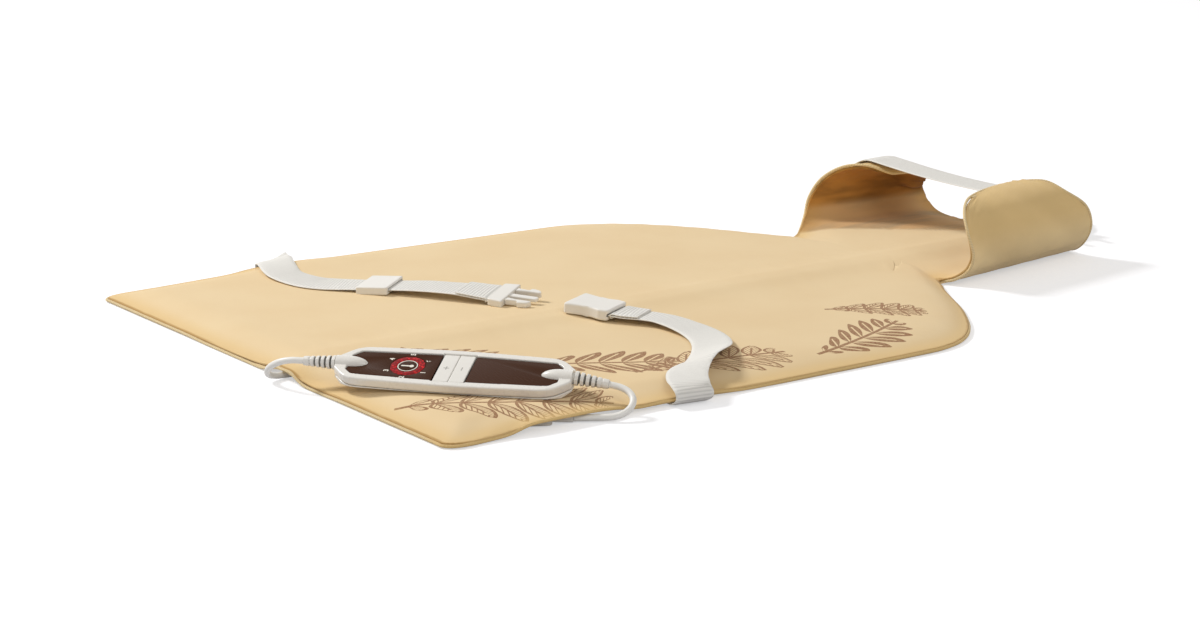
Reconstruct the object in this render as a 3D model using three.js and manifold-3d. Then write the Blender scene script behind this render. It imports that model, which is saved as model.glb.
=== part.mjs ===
// A heating pad for the back and neck, with its hand controller, belt, collar strap and mains lead.
// Millimetres, +Z up. The pad lies flat: the origin is on its underside, below the middle of the pad,
// and +Y runs from the hem to the collar. The controller's own frame is a along, b across and c out.
import * as THREE from "three";
import { mergeVertices } from "three/addons/utils/BufferGeometryUtils.js";
import Module from "manifold-3d";

const wasm = await Module();
wasm.setup();

// Driving dimensions of the pad
const PAD_LENGTH = 620;
const PAD_WIDTH = 420;
const PAD_THICKNESS = 8;
const EDGE_THICKNESS = 3;
const EDGE_MARGIN = 24;
const COLLAR_THICKNESS = 5;
const COLLAR_LENGTH = 142;
const COLLAR_REACH = 98;
const NEAR_CURL_RADIUS = 29;
const FAR_CURL_RADIUS = 26.5;
const FAR_CURL_REAR_RADIUS = 25;
const FOLD_FRONT = 76;
const NEAR_FOLD_REAR = 54;
const FAR_FOLD_REAR = 69;
const FAR_SIDE_SLACK = 9;
const COVER_THICKNESS = 1.1;
const CARRIER_THICKNESS = 1.2;
const HEATING_WIRE_DIAMETER = 1.2;
const HEATING_LINE_PITCH = 29.5;
const GAP = 0.3;
const OVERRUN = 1;

// Driving dimensions of the controller
const CONTROLLER_LENGTH = 143;
const CONTROLLER_WIDTH = 41;
const CONTROLLER_DEPTH = 11.6;
const CONTROLLER_YAW = THREE.MathUtils.degToRad(40.8);
const CONTROLLER_TILT = THREE.MathUtils.degToRad(15.8);
// Chosen by hand with the cords' points: where the casing lies, and how far its lead end is from there
const CONTROLLER_AT = new THREE.Vector3(130, -254, 20);
const CONTROLLER_LEAD_REACH = 71.5;
const RIM_HEIGHT = 0.7;
const PARTING_DEPTH = 5;
const HOUSING_WALL = 1.6;
const PANEL_THICKNESS = 1.5;
const KEY_LENGTH = 9.4;
const KEY_TRAVEL = 0.7;
const RING_RADIUS = 10.3;
const RING_BAND = 3.8;
const NOSE_RADIUS = 4.5;
const RELIEF_LENGTH = 20;
const LEAD_RELIEF_DROOP = THREE.MathUtils.degToRad(8);

// Driving dimensions of the cords, the belt and the collar strap
const MAINS_DIAMETER = 4;
const COIL_MEAN_RADIUS = 24;
const COIL_TURNS = 7.375;
const COIL_PITCH = 4.5;
const LEAD_DIAMETER = 4;
const WEBBING_WIDTH = 25;
const WEBBING_THICKNESS = 1.1;
const STRAP_WIDTH = 25;
const STRAP_THICKNESS = 1;

// Colours and finishes
const finish = (color, roughness, metalness = 0) =>
  new THREE.MeshStandardMaterial({ color, roughness, metalness });
const CREAM = finish(0xead3a8, 0.95);
const OCHRE = finish(0xcdaa69, 0.95);
const FELT = finish(0xe8e4da, 1);
const WADDING = finish(0xf4f1e8, 1);
const WIRE = finish(0xd8cfc0, 0.6);
const WHITE_WEB = finish(0xefece6, 0.85);
const WHITE_PLASTIC = finish(0xf3f1ec, 0.4);
const BROWN_PANEL = finish(0x4a2c1c, 0.25);
const RED_LIGHT = finish(0xb3202a, 0.3);
const BOARD = finish(0x1f5a36, 0.6);
const DARK = finish(0x26262a, 0.5);
const METAL = finish(0xc9c9c6, 0.3, 1);

const root = new THREE.Group();
const V = (x, y, z) => new THREE.Vector3(x, y, z);
const lerp = THREE.MathUtils.lerp;
const smooth = (t) => THREE.MathUtils.smoothstep(t, 0, 1);

function add(name, geometry, material, parent = root) {
  const mesh = new THREE.Mesh(geometry, material);
  mesh.name = name;
  parent.add(mesh);
  return mesh;
}

// Solids, joined and cut
function toSolid(geometry) {
  const plain = geometry.clone();
  plain.deleteAttribute("normal");
  plain.deleteAttribute("uv");
  const merged = mergeVertices(plain.index ? plain.toNonIndexed() : plain, 1e-4);
  return new wasm.Manifold(
    new wasm.Mesh({
      numProp: 3,
      vertProperties: new Float32Array(merged.attributes.position.array),
      triVerts: new Uint32Array(merged.index.array),
    }),
  );
}

function toGeometry(solid) {
  const mesh = solid.getMesh();
  const geometry = new THREE.BufferGeometry();
  geometry.setAttribute("position", new THREE.BufferAttribute(mesh.vertProperties, 3));
  geometry.setIndex(new THREE.BufferAttribute(mesh.triVerts, 1));
  return geometry;
}

const joined = (first, ...others) =>
  toGeometry(others.reduce((solid, other) => solid.add(toSolid(other)), toSolid(first)));
const cut = (first, ...others) =>
  toGeometry(others.reduce((solid, other) => solid.subtract(toSolid(other)), toSolid(first)));
const common = (first, ...others) =>
  toGeometry(others.reduce((solid, other) => solid.intersect(toSolid(other)), toSolid(first)));

// A block between two corners.
function block(low, high) {
  const size = high.clone().sub(low);
  const middle = high.clone().add(low).multiplyScalar(1 / 2);
  return new THREE.BoxGeometry(size.x, size.y, size.z).translate(middle.x, middle.y, middle.z);
}

// An outline with each corner rounded by its own radius: points are [x, y, radius].
function roundedOutline(points) {
  const shape = new THREE.Shape();
  const count = points.length;
  points.forEach(([x, y, radius = 0], i) => {
    const corner = new THREE.Vector2(x, y);
    const back = new THREE.Vector2(...points[(i + count - 1) % count].slice(0, 2)).sub(corner);
    const ahead = new THREE.Vector2(...points[(i + 1) % count].slice(0, 2)).sub(corner);
    const start = corner.clone().add(back.setLength(radius));
    const end = corner.clone().add(ahead.setLength(radius));
    if (i) shape.lineTo(start.x, start.y);
    else shape.moveTo(start.x, start.y);
    if (radius > 0) shape.quadraticCurveTo(x, y, end.x, end.y);
  });
  shape.closePath();
  return shape;
}

function extruded(shape, low, high, bevel = 0, segments = 1) {
  const geometry = new THREE.ExtrudeGeometry(shape, {
    depth: high - low - 2 * bevel,
    bevelEnabled: bevel > 0,
    bevelThickness: bevel,
    bevelSize: bevel,
    bevelOffset: -bevel,
    bevelSegments: segments,
    curveSegments: 3,
  });
  return geometry.translate(0, 0, low + bevel);
}

// A closed skin over rings of equal count, capped at both ends, turned to face out.
function loft(rings) {
  const count = rings[0].length;
  const positions = rings.flat().flatMap((p) => [p.x, p.y, p.z]);
  const index = [];
  for (let r = 0; r + 1 < rings.length; r++)
    for (let i = 0; i < count; i++) {
      const [a, b] = [r * count + i, r * count + ((i + 1) % count)];
      index.push(a, b, b + count, a, b + count, a + count);
    }
  const last = (rings.length - 1) * count;
  for (let i = 1; i + 1 < count; i++) {
    index.push(0, i + 1, i);
    index.push(last, last + i, last + i + 1);
  }
  const geometry = new THREE.BufferGeometry();
  geometry.setAttribute("position", new THREE.BufferAttribute(new Float32Array(positions), 3));
  geometry.setIndex(index);
  return facingOut(geometry);
}

function facingOut(geometry) {
  const p = geometry.attributes.position;
  const index = geometry.index.array;
  const [a, b, c] = [V(0, 0, 0), V(0, 0, 0), V(0, 0, 0)];
  let volume = 0;
  for (let i = 0; i < index.length; i += 3) {
    a.fromBufferAttribute(p, index[i]);
    b.fromBufferAttribute(p, index[i + 1]);
    c.fromBufferAttribute(p, index[i + 2]);
    volume += a.dot(b.cross(c));
  }
  if (volume < 0)
    for (let i = 0; i < index.length; i += 3)
      [index[i + 1], index[i + 2]] = [index[i + 2], index[i + 1]];
  return geometry;
}

// A round tube through points, with its rings carried along without twist.
function tubeThrough(points, radius, sides) {
  const rings = [];
  let across = null;
  points.forEach((point, i) => {
    const ahead = points[Math.min(i + 1, points.length - 1)];
    const behind = points[Math.max(i - 1, 0)];
    const along = ahead.clone().sub(behind).normalize();
    if (!across) across = Math.abs(along.z) < 0.9 ? V(0, 0, 1).cross(along) : V(1, 0, 0).cross(along);
    across.addScaledVector(along, -across.dot(along)).normalize();
    const other = along.clone().cross(across);
    rings.push(
      Array.from({ length: sides }, (_, k) => {
        const turn = (2 * Math.PI * (k + 1 / 2)) / sides;
        return point
          .clone()
          .addScaledVector(across, radius * Math.cos(turn))
          .addScaledVector(other, radius * Math.sin(turn));
      }),
    );
    across = across.clone();
  });
  return loft(rings);
}

// The pad: half widths from the hem to the collar, as shares of that length and of the half width
const HALF_WIDTH_SHARES = [
  [0, 0.975], [0.0051883, 0.992], [0.0155649, 1], [0.7406276, 1], [0.765272, 0.995], [0.7976987, 0.974],
  [0.8301255, 0.93], [0.8625523, 0.86], [0.8923849, 0.774], [0.9209205, 0.678], [0.9455649, 0.576],
  [0.9689121, 0.48], [0.9883682, 0.415],
];
// The collar wings' front and rear edges: shares of the reach, and of the collar's length
const NEAR_FRONT_SHARES = [[0, 0], [0.25, 0.08], [0.41, 0.065], [0.56, 0.03], [0.75, 0.06], [0.86, 0.17], [0.95, 0.37], [1, 0.47]];
const NEAR_REAR_SHARES = [[0, 1], [0.2, 0.975], [0.52, 0.972], [0.62, 0.885], [0.7, 0.83], [0.85, 0.77], [1, 0.63]];
const FAR_FRONT_SHARES = [[0, 0], [0.17, 0.13], [0.3, 0.2], [0.41, 0.23], [0.49, 0.265], [0.6, 0.3], [0.7, 0.36], [0.85, 0.43], [1, 0.52]];
const FAR_REAR_SHARES = [[0, 1], [0.25, 0.96], [0.47, 0.94], [0.8, 0.86], [1, 0.73]];

function fromShares(table, at) {
  let i = 1;
  while (i + 1 < table.length && at > table[i][0]) i++;
  const [[x0, y0], [x1, y1]] = [table[i - 1], table[i]];
  return lerp(y0, y1, THREE.MathUtils.clamp((at - x0) / (x1 - x0), 0, 1));
}

const HEM = -PAD_LENGTH / 2;
const REAR = PAD_LENGTH / 2;
const COLLAR_FRONT = REAR - COLLAR_LENGTH;
const BODY_LENGTH = COLLAR_FRONT - HEM;

function halfWidth(side, y) {
  const along = (y - HEM) / BODY_LENGTH;
  const plain = (PAD_WIDTH / 2) * fromShares(HALF_WIDTH_SHARES, along);
  const slackShare = Math.sin(Math.PI * THREE.MathUtils.clamp(along / HALF_WIDTH_SHARES[3][0], 0, 1)) ** 2;
  return plain + (side < 0 ? FAR_SIDE_SLACK * slackShare : 0);
}

const alongCollar = (y) => THREE.MathUtils.clamp((y - COLLAR_FRONT) / COLLAR_LENGTH, 0, 1);
const foldLine = (side, y) => lerp(FOLD_FRONT, side > 0 ? NEAR_FOLD_REAR : FAR_FOLD_REAR, alongCollar(y));
const curlRadius = (side, y) =>
  side > 0 ? NEAR_CURL_RADIUS : lerp(FAR_CURL_RADIUS, FAR_CURL_REAR_RADIUS, alongCollar(y));

// Cord routes, chosen by hand: from the controller's strain reliefs
const MAINS_POINTS = [
  [60.1, -314.0, 19.0], [54.5, -318.7, 18.8], [48.8, -322.4, 17.3], [42.7, -324.0, 14.5], [37.0, -324.4, 11.0],
  [32.6, -323.0, 7.0], [29.4, -319.5, 4.2], [27.8, -313.5, 2.6], [27.2, -305.0, 2.1], [27.4, -290.0, 2.0],
  [28.0, -260.0, 2.0], [28.0, -200.0, 2.0], [28.0, -100.0, 2.0], [28.0, 0.0, 2.0], [28.0, 100.0, 2.0],
  [28.0, 200.0, 2.0], [27.4, 240.0, 2.0], [25.8, 280.0, 2.0], [23.8, 310.0, 2.1], [22.6, 330.0, 2.4],
  [22.3, 340.7, 2.5],
];
const TAIL_POINTS = [
  [-35.9, 364.8, 7.0], [-38.8, 361.9, 7.2], [-41.3, 359.4, 7.8], [-44.0, 356.0, 8.8], [-45.6, 351.8, 10.2],
  [-45.9, 347.4, 11.6], [-45.2, 343.0, 13.0], [-43.4, 339.2, 14.2], [-40.6, 335.8, 15.2], [-37.2, 333.4, 15.8],
  [-33.6, 332.2, 16.1], [-30.0, 332.0, 16.15],
];
const LEAD_POINTS = [
  [199.3, -192.8, 16.3], [204.4, -188.9, 15.3], [209.6, -187.0, 13.6], [214.4, -187.4, 11.3], [217.9, -190.0, 8.6],
  [219.4, -194.0, 6.0], [219.0, -198.6, 4.1], [216.8, -203.0, 3.0], [213.2, -208.0, 2.6], [209.0, -214.6, 2.6],
  [204.6, -222.0, 2.6],
];
const toPoints = (list) => list.map(([x, y, z]) => V(x, y, z));

// The pad connector: a socket under the pad and the lead's plug in it
const PLUG_AXIS = V(Math.cos(THREE.MathUtils.degToRad(240)), Math.sin(THREE.MathUtils.degToRad(240)), 0);
const PLUG_HEIGHT = 4.4;
const PLUG_WIDTH = 16;
const PLUG_RELIEF = 12;
const PLUG_GRIP = 16;
const PLUG_TONGUE = 13;
const SOCKET_LENGTH = 27;
const SOCKET_WALL = 1.3;
const SOCKET_WIDTH = PLUG_WIDTH + 2 * SOCKET_WALL;
const LEAD_END = V(...LEAD_POINTS.at(-1));
const PLUG_START = LEAD_END.clone().addScaledVector(PLUG_AXIS, GAP);
const SOCKET_MOUTH = PLUG_START.clone().addScaledVector(PLUG_AXIS, PLUG_RELIEF + PLUG_GRIP + GAP);
const SOCKET_END = SOCKET_MOUTH.clone().addScaledVector(PLUG_AXIS, SOCKET_LENGTH);

// How far the pad is lifted where it lies over a cord, the connector or the belt's sewn ends
const CORD_LIFT = MAINS_DIAMETER + 2 * GAP;
const SOCKET_LIFT = PLUG_HEIGHT + 4 * GAP;
const WEB_LIFT = WEBBING_THICKNESS + 3 * GAP;
const CORD_PLATEAU = 8;
const CORD_FALL = 16;
const LIFT_MARGIN = 1;
const SEAT_MARGIN = 9;
const WEB_PLATEAU = WEBBING_WIDTH / 2 + SEAT_MARGIN;
const WEB_FALL = 12;
const SOCKET_PLATEAU = SOCKET_WIDTH / 2 + SEAT_MARGIN;
const SOCKET_FALL = 14;
const SQUASH_SHARE = 0.35;
const LEAD_SQUASH_SHARE = 0.85;

function distanceToLine(x, y, points) {
  let least = Infinity;
  for (let i = 0; i + 1 < points.length; i++) {
    const [ax, ay] = points[i];
    const [bx, by] = points[i + 1];
    const [dx, dy] = [bx - ax, by - ay];
    const t = THREE.MathUtils.clamp(((x - ax) * dx + (y - ay) * dy) / (dx * dx + dy * dy || 1), 0, 1);
    least = Math.min(least, Math.hypot(x - ax - t * dx, y - ay - t * dy));
  }
  return least;
}

const hump = (distance, height, plateau, fall) =>
  height * (1 - smooth((distance - plateau) / fall));
const onFloor = (points) => points.filter(([, , z]) => z < 2 * MAINS_DIAMETER);
const MAINS_UNDER = onFloor(MAINS_POINTS);
const LEAD_UNDER = onFloor(LEAD_POINTS);
const SOCKET_LINE = [PLUG_START, SOCKET_END].map((p) => [p.x, p.y]);

const leadLift = (x, y) =>
  Math.max(
    hump(distanceToLine(x, y, LEAD_UNDER), CORD_LIFT, CORD_PLATEAU, CORD_FALL),
    hump(distanceToLine(x, y, SOCKET_LINE), SOCKET_LIFT, SOCKET_PLATEAU, SOCKET_FALL),
  );
const mainsLift = (x, y) =>
  Math.max(
    hump(distanceToLine(x, y, MAINS_UNDER), CORD_LIFT, CORD_PLATEAU, CORD_FALL),
    ...BELT_SEATS.map((seat) => hump(distanceToLine(x, y, seat), WEB_LIFT, WEB_PLATEAU, WEB_FALL)),
  );

// How far a layer at a height over the underside is raised: the padding gives way above a cord
function raise(x, y, height) {
  const share = height / PAD_THICKNESS;
  const overMains = mainsLift(x, y) * (1 - SQUASH_SHARE * share);
  return Math.max(overMains, leadLift(x, y) * (1 - LEAD_SQUASH_SHARE * share));
}

// The belt: stations along the webbing's middle, chosen by hand: across from the pad's side, along from the
// hem, the lower edge's height, the side angle, the tilt, and the share of the width that a tilt lifts it by
const stationsFrom = (side, stations) =>
  stations.map(([across, along, low, angle, tilt, liftShare = 0]) =>
    [side * (PAD_WIDTH / 2) + across, HEM + along, low + liftShare * WEBBING_WIDTH, angle, tilt]);
const FAR_BELT = stationsFrom(-1, [
  [18, 144, 1.2, 106, 0], [5, 140.2, 1.2, 106, 0], [-10.5, 135.6, 1.2, 106, 0],
  [-13.8, 134.6, 3, 106, 1, 0.008], [-13.2, 134, 5.4, 106, 2, 0.016], [-4.6, 131.4, 8.1, 106, 1, 0.008],
  [7, 126.2, 10, 106, 0], [23, 119.5, 10.7, 106, 0], [42.6, 113.4, 10.4, 106, 0],
  [63, 114, 9.8, 107, 2, 0.016], [76, 117.4, 9.6, 110, 3, 0.028], [86, 123.8, 9.7, 114, 3.5, 0.032],
  [98, 134, 10.5, 119, 2.5, 0.02], [112, 145, 11.5, 121, 2, 0.016], [125.5, 155, 12.5, 121, 2, 0.016],
  [137, 163.2, 13.1, 121, 3, 0.028], [150, 171, 13.6, 121, 3, 0.028], [162, 178.2, 13.6, 121, 4, 0.036],
  [174, 185.4, 12.5, 121, 6, 0.052], [182, 190.2, 11.8, 121, 8, 0.068],
]);
const NEAR_BELT = stationsFrom(1, [
  [-20, 168, 1.2, -98, 0], [-10, 166.5, 1.2, -98, 0], [2, 164.8, 1.2, -98, 0], [8.4, 164, 4.6, -98, 0],
  [8.5, 164, 8.4, -98, 0], [3, 165, 11.6, -98, 0], [-7, 170.4, 11.7, -112, -3, 0.028],
  [-18, 179, 11.5, -124, -6, 0.052], [-27, 189.1, 10.2, -132, -14, 0.12],
  [-31.7, 198.6, 9.2, -136, -24, 0.204], [-44.5, 214.5, 9, -130, -18, 0.156],
  [-59, 228.8, 9.8, -118, -8, 0.068], [-75, 239, 10.1, -104, -3, 0.028], [-93, 244.6, 10.8, -94, 0],
  [-111, 245.3, 10.8, -90, 3, 0.028], [-127.4, 243.2, 11.5, -84, 3, 0.028],
  [-139.5, 237, 12.2, -72, 2, 0.016], [-148.6, 230.2, 13.1, -63, 0], [-154.9, 227, 13.6, -63, 0],
]);
const underEdge = (belt) => belt.filter(([, , z]) => z < 2).map(([x, y]) => [x, y]);
const BELT_SEATS = [underEdge(FAR_BELT), underEdge(NEAR_BELT)];

// A flat strip along stations, its section a thin box turned by each station's side direction.
function strip(stations, width, thickness, stepsEach = 2) {
  const middle = new THREE.CatmullRomCurve3(stations.map(([x, y, z]) => V(x, y, z)), false, "centripetal");
  const sides = stations.map(([, , , angle, tilt]) => {
    const [turn, lean] = [angle, tilt].map(THREE.MathUtils.degToRad);
    return V(Math.cos(turn) * Math.cos(lean), Math.sin(turn) * Math.cos(lean), Math.sin(lean));
  });
  const steps = (stations.length - 1) * stepsEach;
  const rings = [];
  for (let i = 0; i <= steps; i++) {
    const t = i / steps;
    const at = t * (stations.length - 1);
    const k = Math.min(Math.floor(at), stations.length - 2);
    const along = middle.getTangent(t);
    const side = sides[k].clone().lerp(sides[k + 1], at - k);
    side.addScaledVector(along, -side.dot(along)).normalize();
    const out = side.clone().cross(along).normalize();
    const point = middle.getPoint(t);
    rings.push(
      [[-1, -1], [1, -1], [1, 1], [-1, 1]].map(([s, o]) =>
        point.clone().addScaledVector(side, (s * width) / 2).addScaledVector(out, (o * thickness) / 2),
      ),
    );
  }
  return loft(rings);
}

// The pad's net: rows of points from side to side, stitched into triangles seen from above
const net = { points: [], triangles: [] };
function netPoint(x, y, depth, wingShare = 0) {
  net.points.push({ x, y, depth, wingShare });
  return net.points.length - 1;
}

function stitch(lower, upper) {
  const place = (row, i) => (net.points[row[i]].x - net.points[row[0]].x) /
    (net.points[row.at(-1)].x - net.points[row[0]].x);
  let [i, j] = [0, 0];
  while (i + 1 < lower.length || j + 1 < upper.length) {
    const stepLower = j + 1 >= upper.length || (i + 1 < lower.length && place(lower, i + 1) <= place(upper, j + 1));
    if (stepLower) net.triangles.push([lower[i], lower[++i], upper[j]]);
    else net.triangles.push([lower[i], upper[j + 1], upper[j++]]);
  }
}

const EDGE_STEP_SHARES = [0, 0.3, 1];
const CORD_STEPS = [
  -CORD_PLATEAU - CORD_FALL, -CORD_PLATEAU - LIFT_MARGIN, 0, CORD_PLATEAU + LIFT_MARGIN, CORD_PLATEAU + CORD_FALL,
];
const LEAD_COLUMN_SHARES = [0.6, 0.7, 0.78, 0.85];
const INNER_COLUMN_SHARES = [2, 3.2];
const INNER_LIMIT_SHARE = 1.2;
const BODY_ROW_SHARES = [0, 0.3, 1, 1.7, 2.3, 2.9, 3.5, 4.1, 4.7, 5.4, 6.1, 6.8, 7.5, 8.6, 11];
const SHOULDER_ROWS = HALF_WIDTH_SHARES.slice(4).map(([share]) => share * BODY_LENGTH);
const MAINS_COLUMN = MAINS_POINTS.find(([, y]) => y === 0)[0];

function bodyRow(y, detailed) {
  const [left, right] = [halfWidth(-1, y), halfWidth(1, y)];
  const inner = [
    ...(detailed ? INNER_COLUMN_SHARES.map((share) => share * EDGE_MARGIN - left) : []),
    -left / 2,
    ...CORD_STEPS.map((step) => MAINS_COLUMN + step),
    ...(detailed ? LEAD_COLUMN_SHARES.map((share) => (share * PAD_WIDTH) / 2) : [right / 2]),
  ];
  const edges = EDGE_STEP_SHARES.map((share) => share * EDGE_MARGIN);
  const xs = [
    ...edges.map((step) => step - left),
    ...inner.filter((x) => x > INNER_LIMIT_SHARE * EDGE_MARGIN - left && x < right - INNER_LIMIT_SHARE * EDGE_MARGIN),
    ...edges.map((step) => right - step).reverse(),
  ];
  return xs.map((x) => netPoint(x, y, Math.min(x + left, right - x, y - HEM)));
}

function collarRow(share) {
  const wing = (side, front, rear) =>
    WING_STEP_SHARES.map((reachShare) => {
      const y = COLLAR_FRONT + COLLAR_LENGTH * lerp(fromShares(front, reachShare), fromShares(rear, reachShare), share);
      const [first, last] = [fromShares(front, reachShare), fromShares(rear, reachShare)]
        .map((s) => COLLAR_FRONT + COLLAR_LENGTH * s);
      const x = side * (foldLine(side, y) + reachShare * COLLAR_REACH);
      const depth = Math.min(y - first, last - y, (1 - reachShare) * COLLAR_REACH);
      return netPoint(x, y, depth, reachShare);
    });
  const near = wing(1, NEAR_FRONT_SHARES, NEAR_REAR_SHARES);
  const far = wing(-1, FAR_FRONT_SHARES, FAR_REAR_SHARES);
  const y = COLLAR_FRONT + COLLAR_LENGTH * share;
  const floor = [-FOLD_FRONT / 2, ...CORD_STEPS.map((step) => MAINS_COLUMN + step)]
    .filter((x) => x < foldLine(1, y) - MAINS_DIAMETER)
    .map((x) => netPoint(x, y, Math.min(REAR - y, EDGE_MARGIN)));
  const inner = [far[0], ...floor, near[0]];
  return { inner, whole: [...far.slice(1).reverse(), ...inner, ...near.slice(1)] };
}

const WING_STEP_SHARES = [0, 0.13, 0.27, 0.41, 0.56, 0.71, 0.86, 1];
const COLLAR_ROW_SHARES = [0, 0.05, 0.2, 0.4, 0.6, 0.8, 0.95, 1];
{
  const rows = [
    ...BODY_ROW_SHARES.map((share, i) => bodyRow(HEM + share * EDGE_MARGIN, i > 1 && i < 13)),
    bodyRow(HEM + HALF_WIDTH_SHARES[3][0] * BODY_LENGTH, false),
    ...SHOULDER_ROWS.map((along) => bodyRow(HEM + along, false)),
  ];
  const collar = COLLAR_ROW_SHARES.map(collarRow);
  rows.slice(1).forEach((row, i) => stitch(rows[i], row));
  stitch(rows.at(-1), collar[0].inner);
  collar.slice(1).forEach((row, i) => stitch(collar[i].whole, row.whole));
}

// Heights of the pad's layers over its flat underside
const LEVEL = { backTop: COVER_THICKNESS };
LEVEL.carrierLow = LEVEL.backTop + GAP;
LEVEL.carrierTop = LEVEL.carrierLow + CARRIER_THICKNESS;
LEVEL.wire = LEVEL.carrierTop + GAP + HEATING_WIRE_DIAMETER / 2;
LEVEL.paddingLow = LEVEL.wire + HEATING_WIRE_DIAMETER / 2 + GAP;
LEVEL.frontLow = PAD_THICKNESS - COVER_THICKNESS;
LEVEL.paddingTop = LEVEL.frontLow - GAP;

function topLevel({ depth, wingShare }) {
  const full = lerp(PAD_THICKNESS, COLLAR_THICKNESS, smooth(wingShare * 4));
  return lerp(EDGE_THICKNESS, full, smooth(Math.max(depth, 0) / EDGE_MARGIN));
}

function frontLevel(point) {
  const under = topLevel(point) - COVER_THICKNESS;
  const low = LEVEL.backTop + GAP;
  return Math.max(low, lerp(under, low, smooth(point.wingShare * 4)));
}

// A place in the pad: across and along as if laid flat, and height over the underside.
function padPlace(x, y, height) {
  const side = Math.sign(x);
  const over = Math.abs(x) - foldLine(side, y);
  if (over <= 0 || y < COLLAR_FRONT)
    return V(x, y, height + raise(x, y, height));
  const radius = curlRadius(side, y);
  const turn = over / radius;
  const across = side * (foldLine(side, y) + (radius - height) * Math.sin(turn));
  return V(across, y, radius - (radius - height) * Math.cos(turn));
}

function layer(lowOf, highOf, keep = () => true) {
  const triangles = net.triangles.filter((t) => t.every((i) => keep(net.points[i])));
  const used = [...new Set(triangles.flat())];
  const place = new Map(used.map((i, k) => [i, k]));
  const count = used.length;
  const at = (i, level) => padPlace(net.points[i].x, net.points[i].y, level(net.points[i]));
  const positions = [...used.map((i) => at(i, highOf)), ...used.map((i) => at(i, lowOf))];
  const edges = new Set(triangles.flatMap(([a, b, c]) => [`${a} ${b}`, `${b} ${c}`, `${c} ${a}`]));
  const index = [];
  for (const [a, b, c] of triangles) {
    const [i, j, k] = [a, b, c].map((n) => place.get(n));
    index.push(i, j, k, i + count, k + count, j + count);
  }
  for (const edge of edges) {
    const [a, b] = edge.split(" ").map(Number);
    if (edges.has(`${b} ${a}`)) continue;
    const [i, j] = [place.get(a), place.get(b)];
    index.push(i, i + count, j + count, i, j + count, j);
  }
  const geometry = new THREE.BufferGeometry();
  const flat = new Float32Array(positions.flatMap((p) => [p.x, p.y, p.z]));
  geometry.setAttribute("position", new THREE.BufferAttribute(flat, 3));
  geometry.setIndex(index);
  return facingOut(geometry);
}

const isCore = ({ x, y, depth, wingShare }) =>
  wingShare === 0 && depth >= EDGE_MARGIN - GAP && y < REAR - EDGE_MARGIN && leadLift(x, y) === 0;

function makePad() {
  add("front_cover", layer(frontLevel, topLevel), CREAM);
  add("back_cover", layer(() => 0, () => LEVEL.backTop), OCHRE);
  add("heater_carrier", layer(() => LEVEL.carrierLow, () => LEVEL.carrierTop, isCore), FELT);
  const cutouts = CUTOUT_PLACES.map(([x, y]) =>
    block(
      V(x - CUTOUT_SIZE.x / 2 - GAP, y - CUTOUT_SIZE.y / 2 - GAP, LEVEL.paddingLow - OVERRUN),
      V(x + CUTOUT_SIZE.x / 2 + GAP, y + CUTOUT_SIZE.y / 2 + GAP, LEVEL.carrierTop + 2 * GAP + CUTOUT_SIZE.z),
    ),
  );
  add("padding_layer", cut(layer(() => LEVEL.paddingLow, () => LEVEL.paddingTop, isCore), ...cutouts), WADDING);
  ["overheat_cutout_upper", "overheat_cutout_lower"].forEach((name, i) => {
    const [x, y] = CUTOUT_PLACES[i];
    const [dx, dy] = [CUTOUT_SIZE.x / 2, CUTOUT_SIZE.y / 2];
    const low = LEVEL.carrierTop + GAP;
    add(name, block(V(x - dx, y - dy, low), V(x + dx, y + dy, low + CUTOUT_SIZE.z)), DARK);
  });
  add("heating_wire", tubeThrough(heatingRoute(), HEATING_WIRE_DIAMETER / 2, 4), WIRE);
}

// The heating wire runs up and down the pad in lines and crosses above the mains cord once
const CUTOUT_SIZE = V(11, 6, 2.6);
const CUTOUT_PLACES = [[-17, 60], [-17, -150]];
const LINE_COUNT = 5;
const WIRE_LOW_SHARE = 3;
const WIRE_STEP_SHARE = 6.5;
function heatingRoute() {
  const bend = HEATING_LINE_PITCH / 2;
  const low = HEM + WIRE_LOW_SHARE * EDGE_MARGIN;
  const high = HEM + HALF_WIDTH_SHARES[3][0] * BODY_LENGTH - EDGE_MARGIN;
  const route = [];
  const first = MAINS_COLUMN + CORD_STEPS[0] - HEATING_LINE_PITCH / 4;
  for (let line = LINE_COUNT - 1; line >= 0; line--) {
    const x = first - line * HEATING_LINE_PITCH;
    const up = (LINE_COUNT - 1 - line) % 2 === 0;
    route.push([x, up ? low : high], [x, up ? high : low]);
    if (line) addBend(route, x, x + HEATING_LINE_PITCH, up ? high : low, up ? bend : -bend);
  }
  const crossing = high;
  CORD_STEPS.forEach((step) => route.push([MAINS_COLUMN + step, crossing]));
  const second = MAINS_COLUMN + CORD_STEPS.at(-1) + HEATING_LINE_PITCH / 4;
  const above = low + WIRE_STEP_SHARE * EDGE_MARGIN;
  for (let line = 0; line < LINE_COUNT - 1; line++) {
    const x = second + line * HEATING_LINE_PITCH;
    const down = line % 2 === 0;
    route.push([x, down ? high : above], [x, down ? above : high]);
    if (line + 2 < LINE_COUNT) addBend(route, x, x + HEATING_LINE_PITCH, down ? above : high, down ? -bend : bend);
  }
  return route.map(([x, y]) => padPlace(x, y, LEVEL.wire));
}

function addBend(route, from, to, y, height) {
  const [middle, radius] = [(from + to) / 2, (to - from) / 2];
  for (const share of [1 / 6, 1 / 3, 1 / 2, 2 / 3, 5 / 6]) {
    const turn = Math.PI * (1 - share);
    route.push([middle + radius * Math.cos(turn), y + height * Math.sin(turn)]);
  }
}

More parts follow.
